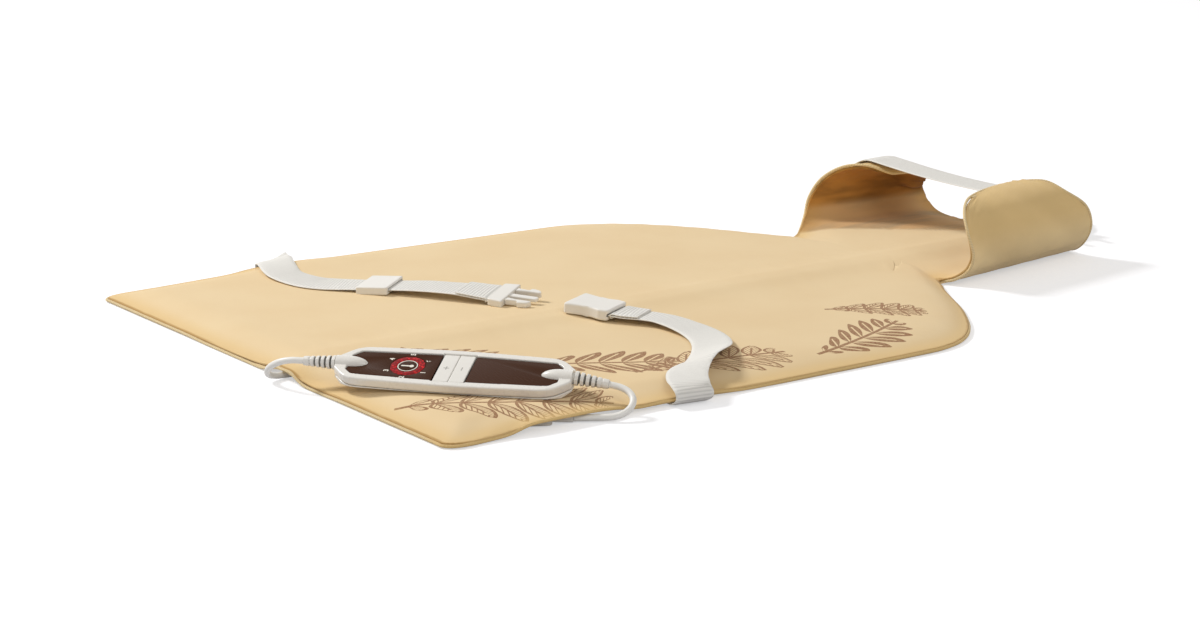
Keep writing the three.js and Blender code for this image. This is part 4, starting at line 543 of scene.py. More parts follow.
# Finishes
def fleece_finish():
    """Smooth fleece: a fine nap, soft clouds in its colour, brown printed sprigs, painted shade in a sunk
    seam line, and painted shade inside the wings and where the far wing shades the floor, streaked with
    painted light and shade along creases.
    """
    cloth = settings("pad_cloth")
    nap_look = {"roughness": 0.92, "sheen_weight": 0.12, "sheen_roughness": 0.5, "specular_ior_level": 0.2}
    fleece = Finish("cream fleece", **nap_look)
    place = fleece.place()
    clouds = fleece.mottle(14, 3, 0.55, place)
    nap = fleece.mottle(1500, 3, 0.7, place)
    fibres = fleece.mottle(5200, 2, 0.6, place)
    base = fleece.mix(clouds.between(0.3, 0.75) * 0.5 + nap * 0.35, cloth.cream, cloth.shade)
    x = fleece.measure(place, (1 / MM, 0, 0))
    y = fleece.measure(place, (0, 1 / MM, 0))
    sprigs = None
    for sprig in SPRIGS:
        drawn = sprig_mask(x, y, *sprig)
        sprigs = drawn if sprigs is None else sprigs.most(drawn)
    worn = sprigs * (0.72 + 0.28 * fleece.mottle(900, 2, 0.6, place).between(0.35, 0.6))
    printed = fleece.mix(worn, base, cloth.print_brown)
    away = fleece.painted("from_edge")
    wing = fleece.painted("wing")
    rolled = fleece.mix((1 - away.between(1, 17)) * 0.62, printed, cloth.gold)
    stretch = {"Vector": place, "Rotation": (0.5, 0.35, 0.2), "Scale": (1, 0.22, 1)}
    folds = fleece.node("ShaderNodeMapping", None, stretch)
    streaks = fleece.mottle(46, 3, 0.55, folds)
    # Painted shade inside the wings and on the floor in the far wing's shade, streaked with painted light and
    # shade along its creases
    shadowed = fleece.mix(streaks.between(0.38, 0.62), darker(cloth.wing_shade_colour, 0.55), darker(cloth.wing_shade_colour, 1.2))
    wing_shaded = fleece.mix(wing, rolled, shadowed)
    near_side = x.between(*NEAR_EDGE) * y.between(*NEAR_EDGE_FROM) * (1 - y.between(*NEAR_EDGE_TO))
    # Painted shade in the sunk seam line, fainter along the near long edge
    seam_shade = away.between(0.6, 1.3) * (1 - away.between(1.6, 3.2)) * (1 - near_side * 0.8)
    fleece.set("Base Color", fleece.mix(seam_shade * 0.8, wing_shaded, cloth.seam_shade))
    fleece.bump(nap * 0.6 + fibres * 0.4 + streaks * wing * 5, 0.22 * MM, 0.55)
    return fleece


def sprig_mask(x, y, root_x, root_y, heading, size, spread, bend, pairs, filled):
    """A leafy sprig: a bent stem and slanting leaves, filled round a pale rib or drawn in outline."""
    turn = math.radians(heading)
    dx = x - root_x
    dy = y - root_y
    u = (dx * math.cos(turn) + dy * math.sin(turn)) / size
    v = (dy * math.cos(turn) - dx * math.sin(turn)) / size - bend * u * u
    out = abs(v)
    origin = u - out * 0.75
    reach = (origin * (1.02 - origin) * (4 * spread / size)).most(0.001)
    share = out / reach
    aside = abs((origin * pairs).fraction() - 0.5)
    half_leaf = share * (1.05 - share) * 1.5
    line = 0.95 * pairs / size
    rib = (aside < line * 0.8) * (share < 0.8)
    if filled:
        drawn = (aside < half_leaf) * (1 - rib)
    else:
        veins = (abs((share * 5 - aside * 6).fraction() - 0.5) < 0.14) * (aside < half_leaf)
        drawn = (abs(aside - half_leaf) < line).most(rib).most(veins)
    inside = (origin > 0.06) * (origin < 0.94) * (share < 1.02)
    stem = (out < 1.3 / size) * (u > 0.0) * (u < 1.0)
    return (drawn * inside).most(stem)


def lining_finish():
    """Ochre cloth with a slight lustre: a fine diagonal twill, soft streaks, painted shade higher up the
    wings and painted shade in the creases' valleys.
    """
    cloth = settings("pad_cloth")
    lining = Finish("ochre cloth", sheen_weight=0.2, sheen_roughness=0.4, specular_ior_level=0.35)
    place = lining.place()
    streaks = lining.mottle(30, 4, 0.6, place)
    height = lining.measure(place, (0, 0, 1 / MM))
    twill = lining.measure(place, (5200, 5200, 4200)).wave()
    thread = lining.measure(place, (-7000, 7000, 5600)).wave()
    weave = twill * 0.5 + thread * 0.3
    soft = lining.mix(streaks.between(0.3, 0.75), cloth.ochre, darker(cloth.ochre, 0.92))
    # Painted shade: higher up the wings the cloth turns darker gold
    shaded_top = lining.mix(height.between(16, 42) * 0.7, soft, cloth.gold)
    # Painted shade in the creases' valleys and the gathers' troughs
    base = lining.mix(lining.painted("crease_shade") * 0.5, shaded_top, darker(cloth.gold, 0.72))
    lining.set("Base Color", lining.mix(weave.between(-0.8, 0.8) * 0.14, base, darker(cloth.ochre, 0.6)))
    lining.set("Roughness", 0.62 + streaks * 0.2)
    lining.bump(weave + lining.mottle(2600, 2, 0.6, place) * 0.5, 0.1 * MM, 0.5)
    return lining


def piping_finish():
    """The bound edge: twisted threads round a thin cord."""
    cloth = settings("pad_cloth")
    piping = Finish("edge piping", roughness=0.8, sheen_weight=0.15, specular_ior_level=0.25)
    twist = (piping.painted("along") * 3.1 + piping.painted("around") * 2).wave()
    base = piping.mix(twist.between(-1, 1), darker(cloth.binding, 0.86), cloth.binding)
    near_side = piping.measure(piping.place(), (1 / MM, 0, 0)).between(*NEAR_EDGE)
    piping.set("Base Color", piping.mix((piping.mottle(120) * 0.3).most(near_side * 0.8), base, cloth.gold))
    piping.bump(twist, 0.12 * MM, 0.6)
    return piping


def webbing_finish(name, rgb, pitch, rib_shade_depth=0.5):
    """Woven webbing: ribs across it, threads along them and a plain selvedge, with painted shade in the
    grooves between the ribs.
    """
    web = Finish(name, roughness=0.72, sheen_weight=0.15, specular_ior_level=0.3)
    along = web.painted("along")
    across = web.painted("across")
    rib = (along * (2 * math.pi * MM / pitch)).wave()
    threads = (across * 9).wave() * (along * (math.pi * MM / pitch)).wave()
    selvedge = abs(across).between(10.6, 11.4)
    height = (rib * 0.6 + threads * 0.35) * (1 - selvedge * 0.7)
    worn = web.mix(web.mottle(260, 3, 0.6) * 0.16, rgb, darker(rgb, 0.72))
    # Painted shade in the grooves between the ribs
    web.set("Base Color", web.mix(height.between(0.2, -0.8) * rib_shade_depth, worn, darker(rgb, 0.5)))
    web.bump(height + web.mottle(3000, 2) * 0.3, 0.14 * MM, 0.7)
    return web


def plastic_finish(name, rgb, roughness, grain=0.02, coat=0.0):
    """Moulded plastic: a faint grain, uneven gloss and slight marks."""
    plastic = Finish(name, coat_weight=coat, coat_roughness=0.12, specular_ior_level=0.5)
    marks = plastic.mottle(420, 4, 0.65)
    clouds = plastic.mottle(40, 2)
    plastic.set("Base Color", plastic.mix(clouds.between(0.3, 0.8) * 0.35, rgb, darker(rgb, 0.93)))
    plastic.set("Roughness", roughness + marks.between(0.35, 0.7) * 0.1)
    plastic.bump(plastic.mottle(1800, 2), grain * MM, 0.35)
    return plastic


def relief_finish(rgb):
    """Soft white plastic, its slots in shadow."""
    soft = Finish("relief plastic", roughness=0.5, specular_ior_level=0.4)
    slot = soft.painted("slot").between(0.25, 0.7)
    soft.set("Base Color", soft.mix(slot, rgb, screen(112, 110, 104)))
    soft.bump(soft.mottle(2400, 2), 0.03 * MM, 0.4)
    return soft


def panel_finish(rgb):
    """Glossy brown acrylic with hair-fine wipe marks, and painted shade, nearly black, on its edge band."""
    panel = Finish("brown panel", specular_ior_level=0.07)
    streak = panel.node("ShaderNodeMapping", None, {"Vector": panel.place(), "Scale": (1, 9, 1)})
    wipes = panel.mottle(240, 3, 0.6, streak)
    face = panel.mix(wipes * 0.25, rgb, darker(rgb, 0.78))
    # Painted shade on the edge band, in the gap round the panel
    panel.set("Base Color", panel.mix(panel.painted("rim"), face, darker(rgb, 0.08)))
    panel.set("Roughness", 0.24 + wipes.between(0.45, 0.75) * 0.12)
    panel.bump(wipes, 0.004 * MM, 0.2)
    return panel


def light_finish(rgb):
    """The lit ring: bright points behind a red lens."""
    light = Finish("red light", roughness=0.4, emission_strength=0.4, specular_ior_level=0.12)
    place = light.place()
    points = light.node("ShaderNodeTexVoronoi", None, {"Vector": place, "Scale": 620})
    glow = 1 - points.between(0.1, 0.62)
    patches = light.mottle(260, 2, 0.5, place).between(0.38, 0.62)
    shine = glow * (0.35 + 0.65 * patches)
    light.set("Base Color", light.mix(shine, darker(rgb, 0.35), rgb))
    light.set("Emission Color", light.mix(shine, darker(rgb, 0.05), screen(246, 50, 48)))
    return light


def hidden_finish(name, rgb, roughness, metallic=0.0, scale=300):
    """A plain working finish with a little variation, for what lies inside."""
    inner = Finish(name, metallic=metallic)
    marks = inner.mottle(scale, 3, 0.6)
    inner.set("Base Color", inner.mix(marks, rgb, darker(rgb, 0.78)))
    inner.set("Roughness", roughness + marks * 0.12)
    inner.bump(marks, 0.05 * MM, 0.3)
    return inner


# Cords
def coil_points():
    """The put-away coil: it winds in, climbs one layer where it turns back, and winds out again."""
    middle = COIL_TURNS / 2
    outer = COIL_MEAN_RADIUS + COIL_PITCH * middle / 2
    points = [COIL_CENTRE + Vector((outer, -CORD_DIAMETER / MM, 0))]
    steps = round(COIL_TURNS * COIL_STEPS_PER_TURN)
    for i in range(steps + 1):
        turns = i / steps * COIL_TURNS
        radius = outer - COIL_PITCH * (middle - abs(turns - middle))
        turn = 2 * math.pi * turns
        climb = COIL_PITCH * smooth_share((turns - middle) * 2 + 0.5)
        points.append(COIL_CENTRE + Vector((radius * math.cos(turn), radius * math.sin(turn), climb)))
    return points


def lay_cord(name, points, finish, nodes):
    """One round cord along its points, given in millimetres, in place of its CAD nodes."""
    grain = settings("pad_cords").grain
    line = catmull_rom([Vector(point) * MM for point in points], grain)
    curve = bpy.data.curves.new(name, "CURVE")
    curve.dimensions = "3D"
    curve.bevel_depth = CORD_DIAMETER / 2
    curve.bevel_resolution = 4
    curve.use_fill_caps = True
    spline = curve.splines.new("POLY")
    spline.points.add(len(line) - 1)
    for place, point in zip(spline.points, line):
        place.co = (*point, 1)
    spline.use_smooth = True
    cord = put(name, curve)
    curve.materials.append(finish.material)
    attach(cord, "pad")
    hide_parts(*nodes)
    whole = sum((b - a).length for a, b in zip(line, line[1:]))
    return cord


# The pad's cloth
def rim_edges(form):
    """The edges where a cover's faces meet the thin wall round it."""
    walls = {face for edge in form.edges if edge.calc_length() < COVER_WALL for face in edge.link_faces}
    return [edge for edge in form.edges if sum(face in walls for face in edge.link_faces) == 1]


def tree_of(points):
    """A search tree for the nearest of some points."""
    tree = kdtree.KDTree(len(points))
    for i, point in enumerate(points):
        tree.insert(point, i)
    tree.balance()
    return tree


def rim_line():
    """The seam round the pad: the line between the two covers' edges."""
    back = welded("back_cover")
    front = welded("front_cover")
    tree = tree_of([vert.co for vert in front.verts])
    beside = {}
    for edge in rim_edges(back):
        first, second = edge.verts
        beside.setdefault(first.index, []).append(second.index)
        beside.setdefault(second.index, []).append(first.index)
    loops, seen = [], set()
    for start in beside:
        loop = []
        at = start
        while at is not None and at not in seen:
            seen.add(at)
            loop.append(at)
            at = next((other for other in beside[at] if other not in seen), None)
        if len(loop) > 40:
            loops.append([back.verts[i].co.copy() for i in loop])
    if not loops:
        raise RuntimeError("the back cover has no rim")
    nearest = [[tree.find(point) for point in loop] for loop in loops]
    gaps = [sum(found[2] for found in hits) / len(hits) for hits in nearest]
    best = gaps.index(min(gaps))
    line = [(point + found[0]) / 2 for point, found in zip(loops[best], nearest[best])]
    back.free()
    front.free()
    return line


def even_loop(line, step):
    """A closed line with its points at short steps."""
    ring = catmull_rom([line[-1], *line, line[0], line[1]], step)
    start = min(range(len(ring) // 4), key=lambda i: (ring[i] - line[0]).length)
    end = min(range(3 * len(ring) // 4, len(ring)), key=lambda i: (ring[i] - line[0]).length)
    return ring[start:end]


def soft_cover(node, levels, crease):
    """A cover's form with its faces rounded off and its rim held sharper."""
    form = welded(node)
    sharp = form.edges.layers.float.new("crease_edge")
    for edge in rim_edges(form):
        edge[sharp] = crease
    return modified(to_mesh(node, form, 180), [("SUBSURF", {"levels": levels, "render_levels": levels})])


def painted_wing_shade(at, lifted):
    """How much painted shade darkens the fleece at a place: inside the wings, and on the floor in the far
    wing's shade.
    """
    if at.x > 0 and lifted > 0:
        return lifted * 0.35
    border = FAR_SHADE_START + FAR_SHADE_SLOPE * (at.y - COLLAR_FRONT)
    shaded = smooth_share((border - at.x) / FAR_SHADE_BLEND)
    shaded *= smooth_share((at.y - COLLAR_FRONT) / WING_BLEND)
    return max(lifted, FAR_SHADE_DEPTH * shaded)


def dress_cover(mesh, tree, inward):
    """Waves, gathers and creases, moved out of the cover along its normals, never into it."""
    cloth = settings("pad_cloth")
    normals = [vert.normal.copy() for vert in mesh.vertices]
    distances, wings, crease_shades = [], [], []
    for vert, normal in zip(mesh.vertices, normals):
        at = vert.co.copy()
        _, index, away = tree.find(at)
        run = index * RIM_STEP
        on_collar = smooth_share((at.y - COLLAR_FRONT) / COLLAR_BLEND)
        lifted = smooth_share((at.z - WING_FOOT) / WING_BLEND) * on_collar
        held = smooth_share(away / HEM_HOLD)
        wave = noise.noise(Vector((at.x * 11, at.y * 8, at.z * 11 + 3)))
        rise = cloth.ripple * (wave + 0.6) * held
        rise += cloth.swelling * smooth_share((away - 2 * MM) / (40 * MM))
        gather = math.cos(2 * math.pi * run / cloth.pucker_pitch)
        gather *= 0.5 + noise.noise(Vector((run * 31, 0, 7)))
        seam = math.exp(-away / GATHER_REACH) * smooth_share(away / (1.5 * MM))
        rise += GATHER_HEIGHT * max(0, gather) * on_collar * seam
        crease_shade = 0
        if on_collar > 0:
            slant = noise.noise(Vector((at.y * 30 + at.z * 44, at.y * 5 - at.z * 8, at.x * 5)))
            fold = max(0, slant + 0.15) ** 1.2
            low = math.exp(-max(0, at.z - 6 * MM) / (15 * MM))
            low *= math.exp(-abs(at.y - CREASE_LINE) / CREASE_SPREAD)
            share = lifted * held if inward else lifted * held * 0.35 + 1.4 * low * held
            rise += cloth.crease_height * fold * share
            # The creases' valleys and the gathers' troughs get painted shade
            valley = max(0, 0.12 - slant) * 2.4
            crease_shade = min(valley * (0.25 * lifted + low) + max(0, -gather) * seam * 0.6, 0.8)
        distances.append(away / MM)
        wings.append(painted_wing_shade(at, lifted))
        crease_shades.append(crease_shade)
        faces_up = lifted >= 0.05 or normal.z > 0.3
        if faces_up or (on_collar > 0 and not inward and normal.z > -0.6):
            vert.co = at + normal * max(rise, 0)
        vert.co.z -= corner_droop(at)
    # Kept on the points for the finishes: the distance from the edge, the painted shade of the wings and the
    # painted shade in the creases and gathers
    paint(mesh, "from_edge", distances)
    paint(mesh, "wing", wings)
    paint(mesh, "crease_shade", crease_shades)
    mesh.update()


def corner_droop(at):
    """How far the far wing's rear corner hangs down at a place."""
    if at.x > DROOP_SIDE:
        return 0
    rear = smooth_share((at.y - DROOP_REAR) / (30 * MM))
    return settings("pad_cloth").droop * rear * smooth_share((at.z - DROOP_HEIGHT) / (18 * MM))


# Flat strips
def strip_rings(node, width, thickness):
    """The four-cornered rings of a strip, in order: middle, half width and half thickness vectors."""
    form = welded(node)
    group = list(range(len(form.verts)))

    def leader(i):
        while group[i] != i:
            i = group[i]
        return i

    def spans(edge, size, slack):
        return abs(edge.calc_length() - size) < slack * size

    wide = [edge for edge in form.edges if spans(edge, width, 0.0003)]
    thin = [edge for edge in form.edges if spans(edge, thickness, 0.02)]
    for edge in [*wide, *thin]:
        first, second = [leader(vert.index) for vert in edge.verts]
        group[second] = first
    members = {}
    for vert in form.verts:
        members.setdefault(leader(vert.index), []).append(vert.index)
    if any(len(ring) != 4 for ring in members.values()):
        raise RuntimeError(f"{node}: its rings don't have four corners")
    beside = {ring: set() for ring in members}
    for edge in form.edges:
        first, second = [leader(vert.index) for vert in edge.verts]
        if first != second:
            beside[first].add(second)
            beside[second].add(first)
    across = {leader(edge.verts[0].index): edge for edge in wide}
    up = {leader(edge.verts[0].index): edge for edge in thin}
    order = []
    at = min((ring for ring in beside if len(beside[ring]) == 1), key=lambda ring: form.verts[ring].co.x)
    while at is not None:
        order.append(at)
        at = next((ring for ring in beside[at] if ring not in order), None)
    rings = []
    side_before, out_before = None, None
    for ring in order:
        middle = sum((form.verts[i].co for i in members[ring]), Vector()) / 4
        side, out = [(edge.verts[1].co - edge.verts[0].co) / 2 for edge in (across[ring], up[ring])]
        side = side if side_before is None or side.dot(side_before) > 0 else -side
        out = out if out_before is None or out.dot(out_before) > 0 else -out
        rings.append((middle, side, out))
        side_before, out_before = side, out
    form.free()
    return rings


def weave_strip(name, rings, pitch, rib):
    """A woven strip along rings, with ribs across it and rounded selvedges, and its length."""
    middles = [middle for middle, _, _ in rings]
    line, sides, outs = [], [], []
    for i in range(len(rings) - 1):
        window = [middles[max(i - 1, 0)], middles[i], middles[i + 1], middles[min(i + 2, len(rings) - 1)]]
        count = max(1, round((middles[i + 1] - middles[i]).length / (pitch / 4)))
        for k in range(count + (i + 2 == len(rings))):
            t = k / count
            first, second, third, fourth = window
            bend = (third - first) * t + (2 * first - 5 * second + 4 * third - fourth) * t * t
            line.append(second + (bend + (3 * second - first - 3 * third + fourth) * t**3) / 2)
            sides.append(rings[i][1].lerp(rings[i + 1][1], t))
            outs.append(rings[i][2].lerp(rings[i + 1][2], t))
    columns = 10
    points, along, across = [], [], []
    run = 0.0
    for i, (middle, side, out) in enumerate(zip(line, sides, outs)):
        run += (middle - line[i - 1]).length if i else 0
        ridge = rib * math.sin(2 * math.pi * run / pitch)
        for face in (1, -1):
            for k in range(columns + 1):
                share = (2 * k / columns - 1) * face
                edge = max(0, abs(share) - 0.9) / 0.1
                height = (1 - 0.65 * edge * edge) * face
                lifted = height * out + out.normalized() * face * ridge * (1 - edge)
                points.append(middle + side * share + lifted)
                along.append(run / MM)
                across.append(share * side.length / MM)
    mesh = rounded_mesh(name, points, ring_faces(len(line), 2 * (columns + 1)), 80)
    paint(mesh, "along", along)
    paint(mesh, "across", across)
    return mesh, run


def folded_end(node, rings, thickness, web):
    """The webbing's end, turned back over itself at its buckle and sewn down."""
    fitting = [vert.co.copy() for vert in NODES[FOLDED_AT[node]].data.vertices]
    centre = sum(fitting, Vector()) / len(fitting)
    if (rings[0][0] - centre).length < (rings[-1][0] - centre).length:
        rings = rings[::-1]
    last, side, out = rings[-1]
    along = (last - rings[-2][0]).normalized()
    face = min((point - last).dot(along) for point in fitting)
    upward = 1 if out.z > 0 else -1
    turn_radius = TURN_RADIUS_SHARE * thickness
    laid = [ring for ring in rings if -SEWN_LENGTH < (ring[0] - last).dot(along) - face < -SEWN_GAP]
    layer = [
        (middle + wall.normalized() * upward * turn_radius, half * SEWN_WIDTH_SHARE, wall)
        for middle, half, wall in laid
    ]
    hinge = last + along * (face - TURN_GAP)
    up = out.normalized() * upward
    for step in range(TURN_STEPS + 1):
        turn = math.pi * step / TURN_STEPS
        radial = up * math.cos(turn) + along * math.sin(turn)
        layer.append((hinge + radial * turn_radius, side * SEWN_WIDTH_SHARE, radial * upward * thickness / 2))
    return weave_strip(node + "_end", layer, web.rib_pitch, web.rib_height)[0]


# Marks on the controller
def flat_mark(name, outline, finish, body="pad", base=0.0, low=MARK_LOW, high=MARK_HIGH, holes=()):
    """A thin printed mark: an outline in the controller's frame, raised by a hair above a base."""
    form = bmesh.new()
    edges = []
    for ring in [outline, *holes]:
        verts = [form.verts.new((a, b, base + low)) for a, b in ring]
        edges += [form.edges.new((verts[i - 1], verts[i])) for i in range(len(verts))]
    bmesh.ops.triangle_fill(form, use_beauty=True, edges=edges)
    raised = bmesh.ops.extrude_face_region(form, geom=form.faces[:])
    tops = [item for item in raised["geom"] if isinstance(item, bmesh.types.BMVert)]
    bmesh.ops.translate(form, verts=tops, vec=(0, 0, high - low))
    bmesh.ops.recalc_face_normals(form, faces=form.faces)
    form.transform(CASE)
    return add_piece(name, to_mesh(name, form, 30), finish, body=body)


def circle(a, b, radius, count=48):
    turns = [2 * math.pi * k / count for k in range(count)]
    return [(a + radius * math.cos(turn), b + radius * math.sin(turn)) for turn in turns]


def bar(a_low, a_high, b_low, b_high):
    return [(a_low, b_low), (a_high, b_low), (a_high, b_high), (a_low, b_high)]


# Operators
class PlaceCamera(bpy.types.Operator):
    """Set the camera where the photograph was taken from"""

    bl_idname = "heating_pad.place_camera"
    bl_label = "Place camera"

    def execute(self, context):
        data = bpy.data.cameras.new("camera")
        data.lens = CAMERA_LENS
        data.sensor_width = CAMERA_SENSOR
        data.sensor_fit = "HORIZONTAL"
        camera = put("camera", data)
        camera.location = CAMERA_PLACE
        camera.rotation_euler = (CAMERA_TARGET - CAMERA_PLACE).to_track_quat("-Z", "Y").to_euler()
        context.scene.camera = camera
        return {"FINISHED"}


class LayCords(bpy.types.Operator):
    """Lay the mains lead with its put-away coil, and the short lead to the pad"""

    bl_idname = "heating_pad.lay_cords"
    bl_label = "Lay cords"

    def execute(self, context):
        sheath = settings("pad_cords").sheath
        finish = plastic_finish("cord sheath", sheath, 0.38, 0.03)
        route = [*MAINS_POINTS, *coil_points(), *TAIL_POINTS]
        mains = ("mains_cord", "mains_cord_coil", "mains_cord_tail")
        lay_cord("mains_lead", route, finish, mains)
        lay_cord("short_lead", LEAD_POINTS, finish, ("pad_lead",))
        return {"FINISHED"}


class DressPad(bpy.types.Operator):
    """Cover the pad with printed fleece, line it with ochre cloth and bind its edge"""

    bl_idname = "heating_pad.dress_pad"
    bl_label = "Dress pad"

    def execute(self, context):
        radius = settings("pad_cloth").piping_radius
        rim = even_loop(rim_line(), RIM_STEP)
        tree = tree_of(rim)
        covers = [
            ("front_fleece", "front_cover", fleece_finish(), "cream_fleece", 3, 0.6, 0.3),
            ("back_cloth", "back_cover", lining_finish(), "ochre_cloth", 2, 0.8, 0.1),
        ]
        for name, node, finish, slot, levels, crease, fill in covers:
            cover = soft_cover(node, levels, crease)
            dress_cover(cover, tree, inward=node == "front_cover")
            add_piece(name, cover, finish, node)
        seam = [Vector((at.x, at.y, max(at.z - corner_droop(at), radius))) for at in rim]
        bound = ring_tube("edge_piping", seam, radius, PIPING_SIDES)
        turns = [2 * math.pi * k / PIPING_SIDES for k in range(PIPING_SIDES)]
        paint(bound, "along", [i * RIM_STEP / MM for i in range(len(rim)) for _ in turns])
        paint(bound, "around", turns * len(rim))
        add_piece("edge_piping", bound, piping_finish())
        return {"FINISHED"}


class WeaveWebbing(bpy.types.Operator):
    """Weave the belt's two halves, the collar strap and its hook and loop patches"""

    bl_idname = "heating_pad.weave_webbing"
    bl_label = "Weave webbing"

    def execute(self, context):
        web = settings("pad_webbing")
        finish = webbing_finish("white webbing", web.white, web.rib_pitch)
        for node, width, thickness in WEBBING:
            rings = strip_rings(node, width, thickness)
            mesh, run = weave_strip(node, rings, web.rib_pitch, web.rib_height)
            short = node.replace("webbing", "web")
            strip = add_piece(short + "_woven", mesh, finish, node)
            if node in FOLDED_AT:
                sewn = folded_end(node, rings, thickness, web)
                add_piece(short + "_sewn_end", sewn, finish)
        pile = webbing_finish("hook and loop", web.white, 0.9 * MM, 0.35)
        for node, width, thickness in PATCHES:
            mesh, _ = weave_strip(node, strip_rings(node, width, thickness), 1.8 * MM, 0.06 * MM)
            add_piece(node + "_pile", mesh, pile, node)
        return {"FINISHED"}


class MouldFittings(bpy.types.Operator):
    """Mould the belt's keeper and the buckle's two halves, and give the plugs the white finish"""

    bl_idname = "heating_pad.mould_fittings"
    bl_label = "Mould fittings"

    def execute(self, context):
        white = settings("pad_controller").white
        finish = plastic_finish("white fittings", white, 0.36, 0.03)
        rides = {
            "belt_keeper": "belt_keeper", "buckle_male_body": "pad", "buckle_arm_left": "buckle_arm_left",
            "buckle_arm_right": "buckle_arm_right", "buckle_female_body": "pad",
        }
        for node, body in rides.items():
            mesh = moulded(node, 0.22 * MM, 6, 0.3)
            add_piece(node + "_moulded", mesh, finish, node, body)
        for node in ("mains_plug", "lead_plug"):
            give(NODES[node], finish)
        return {"FINISHED"}


class MouldController(bpy.types.Operator):
    """Mould the controller's casing, panels, keys, light ring and strain reliefs"""

    bl_idname = "heating_pad.mould_controller"
    bl_label = "Mould controller"

    def execute(self, context):
        case = settings("pad_controller")
        white = plastic_finish("white casing", case.white, 0.26, 0.012, coat=0.25)
        for node in ("upper_housing", "lower_housing"):
            name = node.replace("housing", "casing")
            add_piece(name, moulded(node, case.voxel, 16, 0.6), white, node)
        panel = panel_finish(case.brown)
        for side, name in ((-1, "mains_nose"), (1, "lead_nose")):
            add_piece(name, nose_form(name, side), white)
        for node in ("display_panel", "blank_panel"):
            mesh = bevelled(node, 0.4 * MM)
            heights = [(CASE.inverted() @ vert.co).z for vert in mesh.vertices]
            top = max(heights)
            # The panel's edge band, just below its top, gets painted shade
            paint(mesh, "rim", [smooth_share((top - height) / (0.12 * MM)) for height in heights])
            add_piece(node + "_glossy", mesh, panel, node)
        key = plastic_finish("white keys", case.white, 0.32, 0.02)
        for node in ("key_plus", "key_minus"):
            add_piece(node + "_cap", moulded(node, 0.2 * MM, 5, 0.3), key, node, node)
        lens = bevelled("light_ring", 0.15 * MM)
        add_piece("light_ring_lens", lens, light_finish(case.red), "light_ring")
        soft = relief_finish(case.white)
        for node, side, droop in (("mains_relief", -1, 0), ("lead_relief", 1, RELIEF_DROOP)):
            add_piece(node + "_boot", relief_boot(node, side, droop), soft, node)
        return {"FINISHED"}


def nose_form(name, side):
    """The rounded nose that leads a cord out over a panel: a thin turned shell."""
    end, tip = CASE_END - 0.2 * MM, CASE_END - NOSE_REACH
    rounds = [1 - math.cos(math.pi / 2 * k / 14) for k in range(15)]
    outer = [(tip + NOSE_TAPER * share, NOSE_RADIUS * math.sqrt(1 - (1 - share) ** 2)) for share in rounds]
    profile = [*outer, (end, NOSE_RADIUS)]
    profile += [(a, max(radius - NOSE_WALL, 0)) for a, radius in reversed(profile[1:])]
    profile.append((tip + NOSE_WALL, 0))
    sides = 56
    points, faces = [], []
    for a, radius in profile:
        for k in range(sides):
            turn = 2 * math.pi * k / sides
            place = (side * a, radius * math.cos(turn), CORD_AXIS + radius * math.sin(turn))
            points.append(CASE @ Vector(place))
    for i in range(len(profile) - 1):
        for k in range(sides):
            corners = (i * sides + k, i * sides + (k + 1) % sides)
            face = (*corners, corners[1] + sides, corners[0] + sides)
            faces.append(face if side < 0 else face[::-1])
    form = bmesh.new()
    form.from_mesh(rounded_mesh(name, points, faces))
    bmesh.ops.remove_doubles(form, verts=form.verts, dist=0.001 * MM)
    bmesh.ops.recalc_face_normals(form, faces=form.faces)
    return to_mesh(name, form, 50)


def relief_boot(node, side, droop):
    """A strain relief, with the depth of each slot painted on it."""
    mesh = moulded(node, 0.2 * MM, 4, 0.4)
    back = CASE.inverted()
    start = Vector((side * (CASE_END + 0.3 * MM), 0, CORD_AXIS))
    heading = Vector((side * math.cos(droop), 0, -math.sin(droop)))
    depths = []
    for vert in mesh.vertices:
        local = back @ vert.co - start
        run = local.dot(heading)
        away = (local - heading * run).length
        share = min(max(run / RELIEF_LENGTH, 0), 1)
        full = RELIEF_RADII[0] + (RELIEF_RADII[1] - RELIEF_RADII[0]) * share
        depths.append((full - away) / MM if 0.03 < share < 0.99 else 0)
    paint(mesh, "slot", depths)
    return mesh


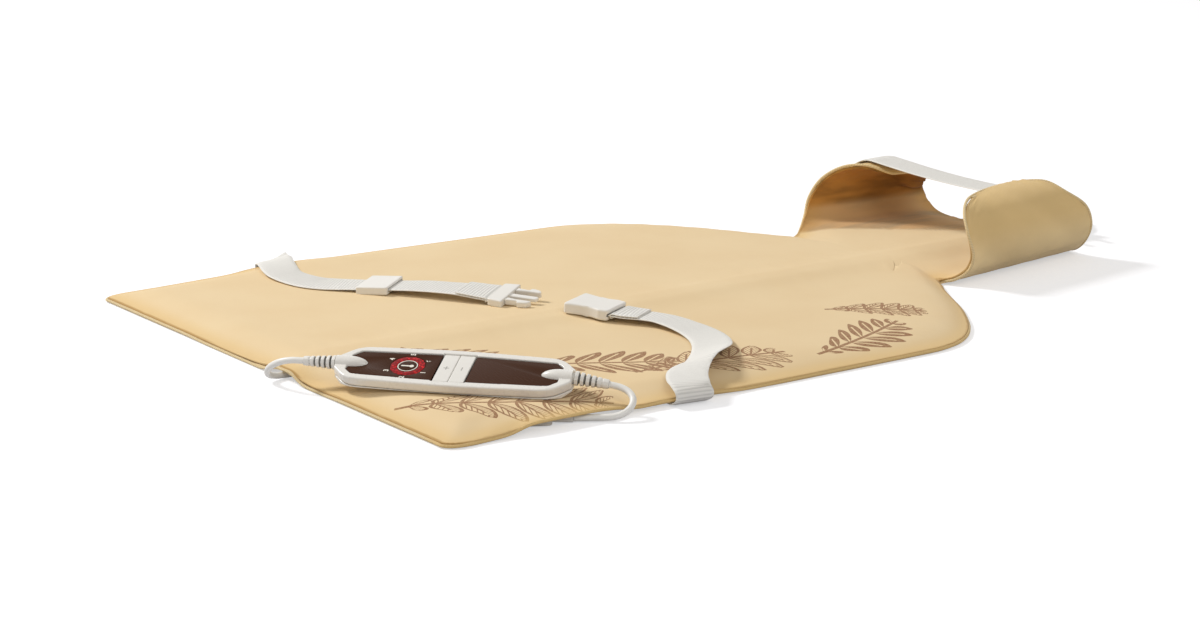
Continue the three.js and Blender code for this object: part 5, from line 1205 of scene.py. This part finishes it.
class PrintMarks(bpy.types.Operator):
    """Print the dial's numbers, circle and warmth mark, and the keys' plus and minus"""

    bl_idname = "heating_pad.print_marks"
    bl_label = "Print marks"

    def execute(self, context):
        case = settings("pad_controller")
        ink = hidden_finish("pale ink", case.marks, 0.45, scale=2000)
        grey = hidden_finish("grey ink", screen(176, 174, 168), 0.5, scale=2000)
        outer, inner = [circle(DIAL_AT, 0, radius) for radius in CIRCLE_RADII]
        flat_mark("dial_circle", outer, ink, holes=[inner])
        stem, bulb = 0.62 * MM, 1.35 * MM
        bulb_at = DIAL_AT + 2.4 * MM
        opening = math.asin(stem / bulb)
        turns = [math.pi - opening - (2 * math.pi - 2 * opening) * k / 24 for k in range(25)]
        outline = [(bulb_at + bulb * math.cos(turn), bulb * math.sin(turn)) for turn in turns]
        tip = DIAL_AT - 3.6 * MM
        outline += [(tip, -stem), (tip - stem * 0.8, 0), (tip, stem)]
        flat_mark("warmth_mark", outline, ink)
        for level in range(case.levels):
            reading = math.radians(DIAL_START - 360 / case.levels * level)
            centre = (DIAL_AT - DIAL_RADIUS * math.sin(reading), DIAL_RADIUS * math.cos(reading))
            number_mark(str(level + 1), centre, case.numeral_height, ink)
        for key, a in (("key_plus", -KEY_AT), ("key_minus", KEY_AT)):
            stroke = bar(a - STROKE_HALF, a + STROKE_HALF, -STROKE_REACH, STROKE_REACH)
            flat_mark(f"{key}_stroke", stroke, grey, key, KEY_TOP)
        cross = bar(-KEY_AT - STROKE_REACH, -KEY_AT + STROKE_REACH, -STROKE_HALF, STROKE_HALF)
        flat_mark("key_plus_cross_stroke", cross, grey, "key_plus", KEY_TOP, high=MARK_HIGH - 0.01 * MM)
        return {"FINISHED"}


def number_mark(text, centre, height, finish):
    """One number of the dial, read from the lead's end of the controller."""
    curve = bpy.data.curves.new("numeral_" + text, "FONT")
    curve.body = text
    curve.size = height * 1.35
    curve.align_x = "CENTER"
    curve.align_y = "CENTER"
    curve.extrude = MARK_HIGH
    curve.offset = 0.14 * MM
    mesh = settled(put("numeral_" + text, curve))
    matrix = Matrix((ACROSS, -ALONG, OUT)).transposed().to_4x4()
    matrix.translation = CASE @ Vector((*centre, 0))
    mesh.transform(matrix)
    return add_piece("numeral_" + text, mesh, finish)


class FinishInside(bpy.types.Operator):
    """Give the pieces inside the pad and the controller their working finishes"""

    bl_idname = "heating_pad.finish_inside"
    bl_label = "Finish inside"

    def execute(self, context):
        felt = hidden_finish("felt", screen(232, 228, 218), 0.9, scale=900)
        wadding = hidden_finish("wadding", screen(244, 241, 232), 0.95, scale=350)
        wire = hidden_finish("wire sleeve", screen(216, 207, 192), 0.5)
        board = hidden_finish("board", screen(31, 90, 54), 0.4)
        dark = hidden_finish("dark plastic", screen(40, 40, 44), 0.45)
        steel = hidden_finish("steel", screen(201, 201, 198), 0.28, 1.0, 900)
        lamp = hidden_finish("lamp", screen(240, 238, 233), 0.3)
        amber = hidden_finish("capacitor", screen(150, 60, 40), 0.4)
        tie = hidden_finish("tie", screen(60, 60, 62), 0.5)
        finishes = {
            felt: ["heater_carrier"],
            wadding: ["padding_layer"],
            wire: ["heating_wire"],
            board: ["circuit_board"],
            dark: [
                "key_switch_plus", "key_switch_minus", "power_triac", "cord_clamp_mains", "cord_clamp_pad",
                "overheat_cutout_upper", "overheat_cutout_lower", "pad_socket",
            ],
            steel: [
                "board_fuse", "socket_pin_a", "socket_pin_b", "plug_pin_a", "plug_pin_b",
                *(f"housing_screw_{i}" for i in range(1, 5)),
            ],
            lamp: [f"led_{i}" for i in range(1, 7)],
            amber: ["film_capacitor"],
            tie: ["coil_tie"],
        }
        for finish, names in finishes.items():
            for name in names:
                give(NODES[name], finish)
        return {"FINISHED"}


def stage_finish():
    """A pale floor that the camera sees as white, with the object's shadow kept."""
    stage = settings("pad_stage")
    floor = Finish("floor", roughness=0.9, specular_ior_level=0.0, emission_color=(1, 1, 1))
    floor.set("Base Color", stage.floor)
    tree = floor.tree
    path = tree.nodes.new("ShaderNodeLightPath")
    seen = Value(floor, path.outputs["Is Camera Ray"])
    for name in ("Is Glossy Ray", "Is Transmission Ray"):
        seen = seen.most(Value(floor, path.outputs[name]))
    glow = floor.node("ShaderNodeEmission", None, {"Color": (1, 1, 1), "Strength": seen * FLOOR_GLOW})
    both = floor.node("ShaderNodeAddShader", None, {0: Value(floor, floor.shader.outputs[0]), 1: glow})
    tree.links.new(both.socket, tree.nodes["Material Output"].inputs["Surface"])
    return floor


class BuildStage(bpy.types.Operator):
    """Lay the pale floor and hang the studio lamps"""

    bl_idname = "heating_pad.build_stage"
    bl_label = "Build stage"

    def execute(self, context):
        stage = settings("pad_stage")
        half = FLOOR_HALF
        corners = [(-half, -half, 0), (half, -half, 0), (half, half, 0), (-half, half, 0)]
        floor = put("floor", rounded_mesh("floor", corners, [(0, 1, 2, 3)]))
        floor.location.z = -FLOOR_DROP
        give(floor, stage_finish())
        hang_lamp("key_lamp", *KEY_LAMP, stage.key_power)
        hang_lamp("fill_lamp", *FILL_LAMP, stage.fill_power)
        world = bpy.data.worlds.new("studio")
        world.use_nodes = True
        tree = world.node_tree
        background = tree.nodes["Background"]
        path = tree.nodes.new("ShaderNodeLightPath")
        seen = tree.nodes.new("ShaderNodeMath")
        seen.operation = "MAXIMUM"
        tree.links.new(path.outputs["Is Camera Ray"], seen.inputs[0])
        tree.links.new(path.outputs["Is Glossy Ray"], seen.inputs[1])
        shade = tree.nodes.new("ShaderNodeMix")
        shade.data_type = "RGBA"
        shade.inputs[6].default_value = (*[value * stage.sky for value in stage.haze], 1)
        shade.inputs[7].default_value = (1, 1, 1, 1)
        tree.links.new(seen.outputs[0], shade.inputs[0])
        tree.links.new(shade.outputs[2], background.inputs["Color"])
        context.scene.world = world
        context.scene.view_settings.view_transform = "Standard"
        return {"FINISHED"}


def hang_lamp(name, rightward, away, upward, size, power):
    """A round lamp that shines at the target, placed from it as the camera sees it."""
    ahead = (CAMERA_TARGET - CAMERA_PLACE).to_2d().normalized().to_3d()
    right = Vector((ahead.y, -ahead.x, 0))
    offset = rightward * right + away * ahead + upward * Vector((0, 0, 1))
    data = bpy.data.lights.new(name, "AREA")
    data.shape = "DISK"
    data.size = size
    data.energy = power
    lamp = put(name, data)
    lamp.location = CAMERA_TARGET + offset
    lamp.rotation_euler = (-offset).to_track_quat("-Z", "Y").to_euler()


ORDER = (
    PlaceCamera, LayCords, DressPad, WeaveWebbing, MouldFittings, MouldController, PrintMarks, FinishInside,
    BuildStage,
)


class HeatingPadPanel(bpy.types.Panel):
    """Lists the steps that dress the heating pad"""

    bl_idname = "VIEW3D_PT_heating_pad"
    bl_label = "Heating pad"
    bl_space_type = "VIEW_3D"
    bl_region_type = "UI"
    bl_category = "Heating pad"

    def draw(self, context):
        for operator in ORDER:
            self.layout.operator(operator.bl_idname)
        for name in SETTINGS:
            group = getattr(context.scene, name)
            box = self.layout.box()
            for prop in group.bl_rna.properties:
                if prop.identifier not in ("rna_type", "name"):
                    box.prop(group, prop.identifier)


CLASSES = (*SETTINGS.values(), *ORDER, HeatingPadPanel)


def register():
    for made in CLASSES:
        bpy.utils.register_class(made)
    for name, group in SETTINGS.items():
        setattr(bpy.types.Scene, name, PointerProperty(type=group))


def unregister():
    for name in SETTINGS:
        delattr(bpy.types.Scene, name)
    for made in reversed(CLASSES):
        bpy.utils.unregister_class(made)


def main():
    register()
    for operator in ORDER:
        getattr(bpy.ops.heating_pad, operator.bl_idname.split(".")[1])()


if __name__ == "__main__":
    main()
